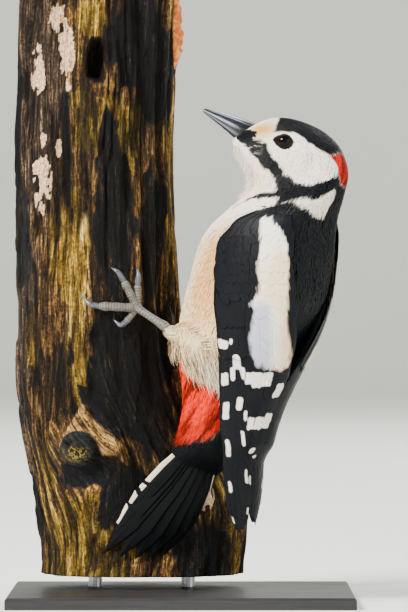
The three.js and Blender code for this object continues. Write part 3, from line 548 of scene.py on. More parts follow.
def hide(t, turn, rise):
    """A point rise above the skin. t counts the ovals from the bill and turn runs from the back
    to the bird's left. The oval's two half-axes point back and left, turned by lean, yaw and
    swing; near a hip the point is pushed along the thigh until it lies on the thigh's dome."""
    t, turn = np.broadcast_arrays(t, turn)
    rows = smooth(BODY, t)
    lean, yaw, swing = (np.radians(rows[..., k]) for k in (3, 4, 5))
    swell = rise - np.interp(t, OVALS, DEEP)
    back = np.stack([np.cos(lean) * np.cos(yaw), -np.cos(lean) * np.sin(yaw), np.sin(lean)], -1)
    left = np.stack([-np.sin(yaw), -np.cos(yaw), 0 * yaw], -1)
    left = left * np.cos(swing)[..., None] + np.cross(left, back) * np.sin(swing)[..., None]
    p = (rows[..., :3] + back * ((rows[..., 6] / 2 + swell) * squarer(np.cos(turn)))[..., None]
         + left * ((rows[..., 7] / 2 + swell) * squarer(np.sin(turn)))[..., None])
    for hip, ankle in THIGHS:
        axis = ankle - hip
        long = np.linalg.norm(axis)
        axis = axis / long
        along = (p - hip) @ axis
        off = np.linalg.norm(p - hip - along[..., None] * axis, axis=-1)
        dome = (long - 1.5 + swell) * np.clip(1 - (off / (THIGH_R + swell)) ** 2.6, 0, 1) ** 0.8
        gap = dome - along
        push = 0.5 * (gap + np.sqrt(gap ** 2 + 1.5)) * step(-6, -1, along) * step(13, 9.5, off)
        p = p + axis * push[..., None]
    return p


def measured(line):
    """Millimetres along a line of points, from its first to each of them."""
    return np.concatenate([[0], np.cumsum(np.linalg.norm(np.diff(line, axis=0), axis=1))])


MIDDLES = measured(BODY[:, :3])


def flat(t, degrees):
    """Place on the unrolled skin in millimetres: round it from the back, and along it."""
    girth = np.interp(t, OVALS, (BODY[:, 6] + BODY[:, 7]) / 4) / 57.3  # for each degree
    return np.stack([degrees * girth, np.interp(t, OVALS, MIDDLES)], -1)


# Each marking is a loop of places (oval, degrees from the back), the same on both sides.
CAP = [(2.22, -5), (2.33, 15), (2.5, 42), (2.68, 62), (2.78, 72), (3.2, 63), (3.85, 55), (4.2, 54),
       (4.93, 56), (5.53, 50), (6.05, 40), (6.15, 32), (6.28, 15), (6.33, -5)]
NAPE = [(6.12, 37), (6.62, 25), (7.03, 19), (7.45, 9), (7.62, -5), (6.22, -5)]
MASK = [(0.6, 108), (1.53, 101), (2.18, 93), (2.9, 92), (3.85, 101), (4.88, 98), (6.03, 90),
        (6.78, 74), (7.1, 61), (7.3, 51), (7.22, 44), (7.18, 32), (7.05, 17), (7.45, 8), (7.6, -5),
        (9.2, -5), (8.95, 5), (8.3, 6), (7.93, 6), (7.7, 12), (7.76, 21), (7.98, 26), (8.05, 34),
        (7.8, 54), (7.87, 61), (7.84, 75), (7.5, 79), (7.05, 98), (6.8, 116), (6.86, 128),
        (7.08, 135), (6.75, 129), (6.6, 116), (6.6, 104), (6.95, 89), (6.48, 92), (5.62, 104),
        (3.98, 122), (2.58, 124), (1.83, 122), (0.6, 118)]
MANTLE = [(7.83, 62), (8.33, 41), (8.75, 22), (8.9, 6), (8.7, -5), (16.8, -5), (16.8, 190),
          (16.3, 190), (15.98, 99), (15.48, 73), (14.93, 48), (14.6, 25), (14.28, 19), (14, 22),
          (13.45, 40), (13.0, 50), (12.2, 62), (11, 82), (9, 88), (7.97, 90), (7.9, 86), (7.83, 76)]
VENT = [(12.55, 200), (12.65, 129), (12.9, 112), (13.15, 91), (13.25, 72), (13.5, 45), (14.0, 21),
        (14.28, 18), (14.6, 24), (15.0, 47), (15.9, 66), (16.4, 98), (16.5, 200)]


def toward(colour, goal, share):
    """Colours moved towards a goal by a share for each place."""
    return colour + (goal - colour) * share[..., None]


BLACK, CREAM, WHITE, RED = (rgb(c) for c in ("#0b0d11", "#f2dcb0", "#f8f0e2", "#c42200"))


def plumage(t, turn):
    """Colour of the coat at a place: white on face and throat, cream below, and over that the
    black cap, mask and mantle, the red nape and vent, each up to its outline."""
    t, turn = np.broadcast_arrays(t, turn)
    degrees = np.degrees(np.angle(np.exp(1j * turn)))
    wry = 24 * step(7.0, 7.5, t) * step(9.6, 8.8, t)  # the neck is turned, and its stripe with it
    degrees = np.where(degrees < 0, np.maximum(-degrees - wry, 0), degrees)
    p = flat(t, degrees)
    here = hide(t, turn, 0)
    patchy = drift(here, 9, 40, 2)[..., None]
    ragged = 1.1 * (drift(here, 1.6, 41, 2) - 0.5)

    def within(outline, soft=0.5):
        return step(-soft, soft, inside(flat(*np.array(outline, float).T), p) + ragged)
    tint = toward(CREAM * (0.9 + 0.16 * patchy), WHITE * (0.96 + 0.06 * patchy),
                  step(9.6, 7.6, t + 0.35 * (degrees - 90) / 90))
    tint = toward(tint, rgb("#cfc6ba"), step(12.2, 13.2, t) * step(95, 60, degrees))
    buff = blob(t, degrees, 1.6, 62, 1.2, 30, 0.6) * (0.35 + 0.6 * step(30, 72, degrees))
    tint = toward(tint, rgb("#cf9c34"), buff)
    tan = blob(t, degrees, 10.4, 103, 1.9, 20, 0.8) * (0.75 + 1.1 * (patchy[..., 0] - 0.4))
    tint = toward(tint, rgb("#d9974f"), np.clip(tan, 0, 0.8))
    tint = toward(tint, rgb("#e3b680"), 0.4 * blob(t, degrees, 5.6, 132, 1.9, 34, 0.7))
    tint = toward(tint, 0, 0.22 * blob(t, degrees, 5.9, 66, 0.5, 7, 0.8))  # the ear
    streak = drift(np.stack([p[..., 0], p[..., 1] / 7, 0 * t], -1), 1.5, 44, 2)
    red = RED * (0.3 + 1.15 * step(0.25, 0.7, streak))[..., None]
    red = toward(red, 0, 0.75 * step(14.7, 15.7, t + 1.6 * (streak - 0.5)))
    nape = within(NAPE, 0.6)
    tint = toward(toward(tint, red, within(VENT, 1.2)), red * [0.9, 0.5, 0.5], nape)
    dark = np.maximum(np.maximum(within(CAP), within(MASK)), within(MANTLE, 0.8)) * (1 - nape)
    dashes = drift(np.stack([p[..., 0], p[..., 1] / 4, 0 * t], -1), 0.5, 42, 1)
    grizzle = blob(t, degrees, 1.5, 112, 1.2, 18, 0.5) * step(0.5, 0.62, dashes) * 0.45
    tail = step(15.3, 15.8, t + 1.4 * (streak - 0.5))
    bristle = np.hypot((t - 0.4) / 1.4, (degrees - 100) / 26) + 0.7 * (drift(here, 0.8, 43, 2) - 0.5)
    dark = np.clip(dark * (1 - grizzle) + step(1.07, 0.93, bristle) + tail, 0, 1)
    return toward(tint, BLACK * (0.85 + 0.3 * patchy), dark)


def barb_group():
    """The barbs of a feather: fine streaks along each vane, told by the vane's own UV map, as a
    shade that multiplies its colour and a height."""
    group = bpy.data.node_groups.new("barbs", "ShaderNodeTree")
    group.interface.new_socket("Vane", in_out="INPUT", socket_type="NodeSocketVector")
    group.interface.new_socket("Colour", in_out="INPUT", socket_type="NodeSocketColor")
    group.interface.new_socket("Colour", in_out="OUTPUT", socket_type="NodeSocketColor")
    group.interface.new_socket("Height", in_out="OUTPUT", socket_type="NodeSocketFloat")
    given = group.nodes.new("NodeGroupInput")
    kept = group.nodes.new("NodeGroupOutput")
    lines = noise(given.outputs["Vane"], 1.0, 3.0, 0.6)
    shade = stretch(lines, 0.3, 0.7, 0.72, 1.12)
    grey = node(group, "ShaderNodeCombineColor", {0: shade, 1: shade, 2: shade}).outputs[0]
    group.links.new(blend(1.0, given.outputs["Colour"], grey, "MULTIPLY"), kept.inputs["Colour"])
    group.links.new(lines, kept.inputs["Height"])
    return group


barbs = barb_group()


def feather_finish(name, colour_of, **sockets):
    """A feather material: colour_of(tree) gives the plain colour, barbs streak it, and dark
    feathers are smoother than pale ones."""
    material, tree = blank(name, **sockets)
    vane = node(tree, "ShaderNodeUVMap", {}, uv_map="vane").outputs["UV"]
    plain = colour_of(tree)
    streaks = node(tree, "ShaderNodeGroup", {"Vane": vane, "Colour": plain}, node_tree=barbs).outputs
    light = node(tree, "ShaderNodeRGBToBW", {0: plain}).outputs[0]
    dress(streaks["Colour"], light, (0.42, 0.85), (0.35, 0.0002), (0.02, 0.3), streaks["Height"])
    return material


def with_poles(value):
    """Values on the rings of closed_forms carried to all its points: each pole has its ring's
    mean."""
    rows = value.reshape(len(value), -1, *value.shape[3:])
    return np.concatenate([rows, value[:, :1].mean(2), value[:, -1:].mean(2)], 1)


down = feather_finish("downy_coat", lambda tree: tone(tree, "plumage", "Color"), Specular_IOR_Level=0.12)
t = np.concatenate([np.linspace(0, 6, 130), np.linspace(6, 16, 191)[1:]])[:, None]
turn = np.linspace(-math.pi, math.pi, 240, endpoint=False)[None, :]
surface = hide(t, turn, 0)
girth = np.broadcast_to(turn / (2 * math.pi) + 0.5, surface.shape[:2])
length = np.broadcast_to(t / 16, surface.shape[:2])
spread = np.concatenate([np.stack([girth * 100, length * 130], -1).reshape(-1, 2), [[50, 0], [50, 130]]])
# The skin carries the markings at 0.8 of their brightness: painted shade under the coat.
skin = stitched("skin", *closed_forms(surface[None], surface[None, -1].mean(1)), down,
                maps={"vane": spread}, tones={"plumage": 0.8 * with_poles(plumage(t, turn)[None])[0]})
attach(skin, "root")
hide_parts("head", "neck", "torso", "rump", "thigh_left", "thigh_right")

# ----------------------------------------------------------------------- the body feathers
# Small soft contour feathers, rooted in the skin and lying back along the body over each
# other. They are shortest round the bill and eyes, and long and loose on belly and vent.
EYES = np.array([(43.1, -54.4, 194.2), (43.3, -32.6, 194.0)])


def unit(v):
    """Vectors of length one."""
    return v / np.maximum(np.linalg.norm(v, axis=-1, keepdims=True), 1e-9)


def clear_of_eyes(p):
    """How far points lie from the nearer eye, where 1 is the almond-shaped edge of its lids."""
    near, slant = [], 0.21
    for eye in EYES:
        x, z = p[:, 0] - eye[0], p[:, 2] - eye[2]
        long, tall = x * math.cos(slant) - z * math.sin(slant), x * math.sin(slant) + z * math.cos(slant)
        level = np.abs(p[:, 1] - eye[1]) > 9  # on the other side of the head
        almond = (np.abs(long / 4.5) ** 1.7 + np.abs(tall / 3.1) ** 1.7) ** (1 / 1.7)
        near.append(np.where(level, 9, almond))
    return np.minimum(*near)


def comb(t, turn, steer):
    """How a place (t, turn) moves for each millimetre along the lie of the plumage. Feathers lie
    back along the body, turned by steer, but hang down over the thighs. The step is the one
    whose push on the skin comes nearest to the wanted way, in the least-squares sense."""
    p = hide(t, turn, 0)
    along = (hide(t + 0.02, turn, 0) - p) / 0.02
    aside = (hide(t, turn + 0.01, 0) - p) / 0.01
    out = unit(np.cross(aside, along))
    out = out * np.sign((out * (p - smooth(BODY, t)[:, :3])).sum(-1))[:, None]
    want = unit(along) + unit(aside) * steer[:, None]
    for hip, ankle in THIGHS:
        axis = unit(ankle - hip)
        reach = (p - hip) @ axis
        off = np.linalg.norm(p - hip - reach[:, None] * axis, axis=-1)
        leg = (step(15, 9, off) * step(0, 5, reach))[:, None]
        down_leg = 0.45 * axis + np.array([0.1, 0, -1]) + np.array([0.35, 0, 0]) * steer[:, None]
        want = want * (1 - leg) + down_leg * leg
    want = unit(want - out * (want * out).sum(-1, keepdims=True))
    aa, ab, bb = (along ** 2).sum(-1), (along * aside).sum(-1), (aside ** 2).sum(-1)
    wa, wb = (want * along).sum(-1), (want * aside).sum(-1)
    size = aa * bb - ab ** 2 + 1e-3 * aa * bb + 1e-6
    return (wa * bb - wb * ab) / size, (wb * aa - wa * ab) / size, unit(np.cross(out, want)), out


LONG_WIDE = np.array([  # oval from the bill; length and width of the coat's vanes there
    (0, 1.7, 0.26), (1.5, 2.0, 0.3), (3, 2.4, 0.36), (4.5, 3.2, 0.42), (6, 4.0, 0.5), (8, 5.6, 0.62),
    (10, 7.5, 0.78), (13, 9.0, 0.8), (15, 9.5, 0.68), (16, 7.5, 0.62)])
VANE = ((0.0, 0.55, -0.2), (0.42, 1.0, 0.8), (0.78, 0.8, 1.0), (1.0, 0.0, 1.02))  # along, wide, high
ACROSS = np.append(np.tile([-1.0, 0, 1], 3), [0, 0])  # where the points of a vane lie across it
UP = np.append(np.repeat([f for f, _, _ in VANE[:3]], 3), [0, 1])  # and along it
COAT_END = 16.4  # the coat ends a little past the skin's last oval


def coat(name, rings, tips, t, turn, offset, wide, long, tints):
    """One piece of the coat from the rings and tips of its vanes. OFBake gives each vane its own
    patch of the unrolled skin, vane lays the streaks along it, and tints colours its points."""
    patch = np.stack([(turn / (2 * math.pi) + 0.5) % 1, np.clip(t / COAT_END, 0, 1)], -1)[:, None]
    patch = patch * 0.994 + 0.003 + 0.0015 * np.stack([ACROSS, 2 * UP - 1], -1)[None]
    vane = np.stack([offset + ACROSS * wide, offset * 3 + UP * long], -1)
    return stitched(name, *closed_forms(rings, tips), down, maps={"OFBake": patch, "vane": vane},
                    tones={"plumage": tints.reshape(-1, 3)}, soft=False)


def contour_feathers(name, low, high, seed, cover=6.0, where=None, sizes=(1.0, 1.0), loose=0.0,
                     steer=0.1, hang=0.0, dusty=0.0):
    """A coat of small vanes between two ovals. Roots are drawn evenly over the skin's area, one
    for each equal share of it; a vane leaves the skin, rises to the coat's depth and lies along
    it, wide in its middle and pointed, with a low ridge down its back. cover and where say how
    thick they grow and sizes how large; loose lifts their tips off the coat, steer strays their
    lie, hang lets them fall freely and dusty greys some of them."""
    rng = np.random.default_rng(seed)
    tt = np.linspace(low, high, 260)[:, None]
    aa = np.linspace(-math.pi, math.pi, 420)[None, :]
    net_points = hide(tt, aa, np.interp(tt, OVALS, DEEP))
    area = np.linalg.norm(np.cross(net_points[1:, :-1] - net_points[:-1, :-1],
                                   net_points[:-1, 1:] - net_points[:-1, :-1]), axis=-1)
    middle_t = 0.5 * (tt[1:] + tt[:-1]) + 0 * aa[:, 1:]
    middle_a = 0.5 * (aa[:, 1:] + aa[:, :-1]) + 0 * tt[1:]
    long, wide = (sizes[k] * np.interp(middle_t, LONG_WIDE[:, 0], LONG_WIDE[:, k + 1]) for k in (0, 1))
    weight = area * cover / (long * wide * 0.62)
    degrees = np.abs(np.degrees(middle_a))
    under_wing = (step(8.6, 9.4, middle_t) * step(13.2, 12.4, middle_t)
                  * step(45, 52, degrees) * step(88, 80, degrees))
    weight = weight * (1 - 0.9 * under_wing)
    if where is not None:
        weight = weight * where(middle_t, degrees, net_points[:-1, :-1])
    total = np.cumsum(weight.ravel())
    count = int(total[-1])
    pick = np.searchsorted(total, (np.arange(count) + rng.random(count)) * total[-1] / count)
    pick = np.clip(pick, 0, len(total) - 1)
    t0 = middle_t.ravel()[pick] + (rng.random(count) - 0.5) * (high - low) / (len(tt) - 1)
    a0 = middle_a.ravel()[pick] + (rng.random(count) - 0.5) * 2 * math.pi / (aa.size - 1)
    long = long.ravel()[pick] * rng.uniform(0.75, 1.25, count)
    wide = wide.ravel()[pick] * rng.uniform(0.8, 1.2, count)
    root = hide(t0, a0, 0)
    stray = rng.uniform(0, 1, count)
    shin = np.array([unit(ankle - hip) for hip, ankle in THIGHS])[(root[:, 1] > MIDRIFF_Y).astype(int)]
    sway = rng.normal(0, 0.06 + 0.12 * hang, (count, 3))
    falls = unit(-0.1 * shin + [0.5 - 0.6 * hang, 0, -0.9] + sway)
    turned = rng.normal(0, steer, count) + 3.2 * steer * (drift(root, (5, 5, 8), seed + 60, 2) - 0.5)
    deep = np.interp(t0, OVALS, DEEP) * rng.uniform(0.95, 1.04, count)
    t, a, reached, rings, places = t0, a0, 0.0, [], []
    for f, w, h in VANE:
        dt, da, aside, out = comb(t, a, turned)
        t = np.clip(t + dt * (f - reached) * long, 0, COAT_END)
        a = a + da * (f - reached) * long
        reached = f
        if hang:
            c = hide(t0, a0, h * deep) + (falls * f + out * hang * f * (1 - f)) * long[:, None]
        else:
            c = hide(t, a, h * deep) + out * (loose * f ** 3 * stray)[:, None]
        half = (wide * w / 2)[:, None]
        rings.append(np.stack([c - aside * half - out * half * 0.16, c + out * half * 0.16,
                               c + aside * half - out * half * 0.16], 1))
        places.append((t0, a0) if hang else (t, a))
    tips, (mid_t, mid_a) = c, places[2]
    rings = np.stack(rings[:3], 1)
    keep = np.min([clear_of_eyes(p) for p in (rings[:, 1, 1], rings[:, 2, 1], tips)], 0) > 1
    rings, tips, t0, a0, mid_t, mid_a = (v[keep] for v in (rings, tips, t0, a0, mid_t, mid_a))
    long, wide, count = long[keep], wide[keep], len(tips)
    colour = plumage(np.minimum(mid_t, 16.2), mid_a) * rng.uniform(0.93, 1.05, (count, 1))
    colour = toward(colour, rgb("#74685a"), dusty * rng.random(count) ** 1.5)
    offset = rng.uniform(0, 60, (count, 1))
    # Painted shade: each vane's points are a little darker near its root, where the vanes over it shade it,
    # and a touch brighter at its tip.
    shade = np.where(UP < 0.2, 0.88, np.where(UP < 0.5, 0.97, 1.02))
    piece = coat(name, rings, tips, t0, a0, offset, wide[:, None] * 2.4, long[:, None] * 0.22,
                 colour[:, None] * shade[None, :, None])
    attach(piece, "root")


def leg_zone(t, degrees, p):
    """1 near either ankle, where the thigh's feathers are long and loose."""
    near = [np.exp(-(np.linalg.norm(p - ankle, axis=-1) / 6.5) ** 4) for _, ankle in THIGHS]
    return np.maximum(*near)


def throat(t, degrees, p):
    """1 down the middle of chin and throat, where loose tips stand off."""
    return step(125, 150, degrees) * step(5.5, 4.5, t)


def hem(t, degrees, p):
    """1 in the band of belly feathers that hang over the red vent."""
    return step(11.5, 12.0, t) * step(13.25, 12.8, t) * step(60, 74, degrees)


contour_feathers("coat_face", 0.0, 2.6, 1, 5.5)
contour_feathers("coat_cheek", 2.6, 4.4, 7)
contour_feathers("coat_crown", 4.4, 6.0, 2)
contour_feathers("coat_neck", 6.0, 8.2, 3)
contour_feathers("coat_breast", 8.2, 10.4, 4)
contour_feathers("coat_belly", 10.4, 12.4, 5)
contour_feathers("coat_vent", 12.4, 16.0, 6, loose=0.5, steer=0.16)
contour_feathers("coat_hem", 11.4, 13.3, 8, 3.2, hem, (1.25, 0.4), hang=0.3, dusty=0.3)
contour_feathers("coat_leg", 10.5, 14.0, 9, 4.0, leg_zone, (1.0, 0.5), hang=0.7, dusty=1.0)
contour_feathers("coat_chin", 0.3, 5.5, 10, 1.3, throat, (1.6, 0.8), 3.2, 0.35)

# ------------------------------------------------------------------------------- the bill
# A straight chisel bill of slate-grey horn in two jaws that meet along the gape, with a low
# ridge down the upper one. Both are set in the front of the skull.
horn, tree = blank("bill_horn", Coat_Weight=0.1, Coat_Roughness=0.2, Specular_IOR_Level=0.3)
lines = noise(where_on(tree, (60, 1500, 1500), -27.6), 1.0, 4.0)
slate = blend(stretch(lines, 0.35, 0.65), "#07080b", "#1b1f28")
# Painted highlight: the edge tone blends the horn towards bluish white in bands down the upper jaw's sides,
# fainter on the lower jaw, and along a pale line at each jaw's cutting edge.
slate = blend(tone(tree, "edge"), slate, "#ccd4e6")
slate = blend(tone(tree, "base"), slate, "#060708")
dress(slate, lines, (0.24, 0.42), (0.25, 0.0002))
GAPE, TIP = np.array([32.3, -43.5, 195.9]), np.array([9.2, -43.5, 208.0])
run = TIP - GAPE
above = unit(np.array([run[2], 0, -run[0]]))
for jaw, side, heights in (("bill_upper", 1, (5.0, 4.6, 4.2, 3.6, 2.8, 1.9, 0.6)),
                           ("bill_lower", -1, (5.6, 5.4, 4.2, 3.1, 2.2, 1.4, 0.6))):
    s = np.linspace(0, 1, 70)[:, None]
    fan = np.linspace(0, math.pi, 25)[None, :]
    high = np.interp(s, np.linspace(0, 1, 7), heights)
    high = high * np.where(s > 0.97, np.sqrt(np.maximum(1 - ((s - 0.97) / 0.032) ** 2, 0.05)), 1)
    half = 0.75 + 3.65 * (1 - s) ** 1.1
    half = half * np.where(s > 0.96, np.sqrt(np.maximum(1 - ((s - 0.96) / 0.043) ** 2, 0.05)), 1)
    ridge = 0.16 * half * np.exp(-((fan - math.pi / 2) / 0.16) ** 2) * (1 if side > 0 else 0.4)
    groove = -0.16 * np.exp(-((np.abs(fan - math.pi / 2) - 0.62) / 0.12) ** 2) * step(0.75, 0.2, s)
    wide = half * np.sign(np.cos(fan)) * np.abs(np.cos(fan)) ** 0.8
    tall = high * np.sin(fan) + ridge + groove * half * 0.5
    sideways, upwards = np.array([0, 1, 0]), above * side
    middle = GAPE + run * s[..., None] + upwards * 0.1
    top = middle + sideways * wide[..., None] + upwards * tall[..., None]
    shut = np.linspace(1, -1, 9)[1:-1][None, ::-1]
    seam = middle + sideways * (half * shut)[..., None]
    ring = np.concatenate([top, seam], 1)
    points, faces = closed_forms(ring[None], (GAPE + run * 1.002 + upwards * 0.2)[None])
    rim = np.exp(-(np.minimum(fan, math.pi - fan) / 0.10) ** 2) * step(0.25, 0.55, s)
    off = np.abs(fan - math.pi / 2)  # how far round from the ridge
    # Painted highlights: bright bands round from the ridge down the upper jaw's sides, fainter on the lower
    # jaw. rim is a pale line along each jaw's cutting edge.
    painted_highlight = np.exp(-((off - 0.3) / 0.14) ** 2) + 0.6 * np.exp(-((off - 0.74) / 0.08) ** 2)
    painted_highlight = painted_highlight * step(0.98, 0.8, s) * step(0.02, 0.3, s)
    if side < 0:
        rim, painted_highlight = 0.5 * rim, 0.22 * np.exp(-((off - 0.9) / 0.2) ** 2) * step(0.1, 0.4, s)
    edge = np.concatenate([np.clip(rim + painted_highlight, 0, 1), np.full(seam.shape[:2], 0.5)], 1)
    near = np.repeat(step(0.5, 0.22, s), ring.shape[1], 1) * 0.8
    piece = stitched(jaw, points, faces, horn, tones={"edge": np.append(edge.ravel(), [0, 0.5]),
                                                      "base": np.append(near.ravel(), [1, 0])})
    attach(piece, "root")
    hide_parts(jaw)

# ------------------------------------------------------------------------------- the eyes
# Glass eyes, dark red-brown with a black pupil, sunk in the head to their lids. Each lid is a
# soft ring of bare black skin with an almond-shaped opening.
EYE_R, SPOKES = 3.7, 48
glass, tree = blank("eye_glass", Coat_Weight=0.14, Coat_Roughness=0.02, Specular_IOR_Level=0.06)
off, fleck = tone(tree, "iris"), noise(where_on(tree), 2600.0)
brown = blend(stretch(fleck, 0.3, 0.7), "#120704", "#240e08")
brown = blend(stretch(off, 37, 41), "#020202", brown)
dress(blend(stretch(off, 52, 58), brown, "#0a0505"), fleck, (0.06, 0.1),
      span=(0.0, 1.0))
lid, tree = blank("eyelid_skin", Specular_IOR_Level=0.15)
pores = noise(where_on(tree), 3000.0, 3.0)
dress(blend(pores, "#050505", "#151314"), pores, (0.45, 0.65), (0.5, 0.0002))
fall = np.linspace(0.02, 1, 40)[:, None] * math.pi  # angle from the way the eye looks
round_it = np.linspace(0, 2 * math.pi, SPOKES, endpoint=False)[None, :]
cos, sin = np.cos(round_it), np.sin(round_it)
for label, side, centre in (("left", -1, EYES[0]), ("right", 1, EYES[1])):
    ball = centre + EYE_R * np.stack([np.sin(fall) * cos, side * np.cos(fall) + 0 * cos,
                                      np.sin(fall) * sin], -1)
    points, faces = closed_forms(ball[None, :-1], (centre - [0, side * EYE_R, 0])[None])
    iris = np.append(np.degrees(np.broadcast_to(fall, ball.shape[:2])[:-1]).ravel(), [0, 180])
    eye = stitched(f"eye_{label}", points, faces, glass, tones={"iris": iris})
    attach(eye, "root")
    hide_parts(f"eye_{label}")
    # The lid, ring by ring outwards: from inside the eye's edge, over a rounded rim, to the skin.
    s = np.linspace(0, 1, 12)[:, None]
    slit_x, slit_z = 3.15 * cos * (1 + 0.08 * cos ** 4), 2.5 * sin
    lx = slit_x + (4.7 * cos * (1 + 0.1 * cos ** 6) - slit_x) * s
    lz = slit_z + (3.6 * sin - slit_z) * s
    tilt = math.radians(-12)
    ex, ez = lx * math.cos(tilt) - lz * math.sin(tilt), lx * math.sin(tilt) + lz * math.cos(tilt)
    proud = np.sqrt(np.maximum(3.75 ** 2 - lx ** 2 - lz ** 2, 0.4))
    proud = proud + 0.42 * np.sin(np.pi * np.clip(s * 1.15, 0, 1)) ** 0.7
    proud = np.where(s > 0.6, np.minimum(proud, 2.75 - 1.6 * (s - 0.6)), proud)
    upper = centre + np.stack([ex, side * proud, ez], -1)
    lower = centre + np.stack([ex, side * (proud - 0.55 - 0.5 * s), ez], -1)[::-1]
    loop = np.concatenate([upper, lower]).transpose(1, 0, 2)  # a ring of cross-sections
    points = loop.reshape(-1, 3)
    faces = net(SPOKES + 1, loop.shape[1]) % len(points)
    if (points[faces[:, 0]] * np.cross(points[faces[:, 1]], points[faces[:, 2]])).sum() < 0:
        faces = faces[:, ::-1]
    ring = stitched(f"eyelid_{label}", points, faces, lid)
    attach(ring, "root")

# ------------------------------------------------------------------------------- the wings
# Each folded wing is a thin shell of overlapping feathers: long flight feathers run down to
# the tip, rows of coverts lap over their roots, and the big white shoulder feathers over those.
WING = np.array([  # height; middle x, y; yaw; half-axes back and side; lead, trail; thickness
    (166.5, 40.5, -40.8, 27, 26.5, 20, 84, 64, 1.6), (162, 38.9, -39.6, 31, 29, 23, 95, 54, 3),
    (155, 36.2, -37.6, 35, 30.6, 25.4, 98, 43, 4), (144, 34.3, -36.2, 38, 31.4, 26.6, 97, 37, 4.2),
    (128, 31, -33.8, 38, 33, 26.6, 92, 28, 4.2), (112, 27, -31, 38, 31.6, 25.2, 84, 16, 4),
    (95, 22.5, -28, 40, 28.6, 22, 74, 3, 3.6), (78, 20, -27, 43, 24, 19, 65, 0, 3),
    (68, 19.3, -27.5, 46, 22, 17.5, 55, 0, 2.6), (61.5, 19, -28.3, 48, 17.5, 16, 45, 0, 2.2),
    (58, 19, -28.6, 49, 16.5, 16, 41, 0, 2), (50, 19, -29, 50, 16, 16, 35, 0, 1.8),
    (41, 19.3, -29.6, 50, 15, 14.5, 34, 0, 1.4), (35.5, 19.8, -30, 50, 14, 12.5, 33, 3, 1.1),
    (32.3, 20, -30.2, 50, 13.6, 12, 26, 10, 0.9)])


def row_of_wing(z):
    """The wing's table read at a height."""
    return smooth(WING, np.interp(-np.asarray(z, float), -WING[:, 0], np.arange(len(WING))))


def wing_skin(z, share, proud, side):
    """A point proud of the folded wing: an arc of an oval at each height, where share runs from
    the edge towards the breast to the edge towards the back, mirrored for the right wing."""
    w = row_of_wing(z)
    turn = np.radians(w[..., 6] + (w[..., 7] - w[..., 6]) * share)
    yaw = np.radians(w[..., 3])
    back = (w[..., 4] + proud) * squarer(np.cos(turn))
    out = (w[..., 5] + proud) * squarer(np.sin(turn))
    out = np.where(out < 0.3, 0.3 - 0.3 * (0.3 - out), out) * side
    lift = 0.1 * np.maximum(0, 60.8 - z) if side < 0 else 0
    return np.stack([w[..., 1] + back * np.cos(yaw) - out * np.sin(yaw),
                     w[..., 2] - back * np.sin(yaw) - out * np.cos(yaw), z + lift + 0 * back], -1)


def arc(z):
    """Millimetres round the wing from its front edge to its back edge at a height."""
    w = row_of_wing(z)
    return np.radians(np.abs(w[..., 6] - w[..., 7])) * (w[..., 4] + w[..., 5]) / 2


ROUND = 28  # millimetres that a share of 1 stands for where the markings are laid out
# The white shoulder patch as (share, height), and the white spots as (share, height, half-width
# and half-height in millimetres, lean).
SHOULDER = [(0.39, 163), (0.6, 162.5), (0.86, 157.5), (0.97, 151.5), (1.02, 146), (0.99, 138),
            (0.94, 129.6), (0.91, 121.3), (0.94, 113.2), (1.0, 105.7), (0.97, 100.6), (0.88, 98.6),
            (0.71, 99.4), (0.52, 100.6), (0.43, 105.7), (0.4, 113.2), (0.46, 121.3), (0.52, 123.6),
            (0.42, 126.4), (0.49, 128.2), (0.55, 131), (0.57, 138), (0.6, 149), (0.52, 157.5)]
SPOTS = np.array([
    (0.035, 110.4, 1.3, 2.0, 0), (0.095, 109.9, 1.2, 1.7, 0), (0.17, 111.2, 0.7, 1.4, 0.15),
    (0.235, 102.7, 1.5, 2.9, 0), (0.18, 97.6, 0.9, 2.7, -0.12), (0.325, 98.0, 0.85, 2.4, -0.1),
    (0.065, 95.4, 1.7, 2.6, 0), (-0.02, 95.0, 0.5, 2.6, 0), (0.425, 95.9, 1.9, 2.5, 0),
    (0.54, 95.2, 2.2, 3.2, 0), (0.69, 95.4, 2.3, 2.9, 0), (0.93, 90.6, 2.0, 2.9, 0.15),
    (0.10, 82.2, 1.35, 3.5, 0), (0.32, 85.2, 1.35, 2.8, 0), (0.46, 80.2, 0.6, 2.1, -0.1),
    (0.585, 77.0, 1.5, 2.6, 0), (0.75, 77.0, 1.9, 2.6, 0), (0.93, 78.0, 1.9, 3.1, 0),
    (0.08, 66.6, 1.1, 3.6, 0), (0.46, 70.7, 0.8, 3.3, -0.2), (0.765, 65.5, 1.3, 1.1, 0),
    (0.94, 63.0, 1.1, 0.5, 0), (0.065, 50.4, 0.75, 2.4, 0), (0.80, 54.8, 0.5, 3.0, -0.05),
    (0.97, 53.1, 0.5, 2.0, -0.1), (0.92, 40.1, 0.5, 1.6, -0.1), (0.02, 36.4, 0.4, 1.6, -0.1)])
FAR_SPOTS = np.concatenate([SPOTS[SPOTS[:, 0] < 0.5],
                            [(0.53, 88.3, 0.6, 2.5, 0.2), (0.60, 95.4, 0.6, 3.4, 0.2)]])
CORNER = 0.75  # the radius that rounds the spots' corners


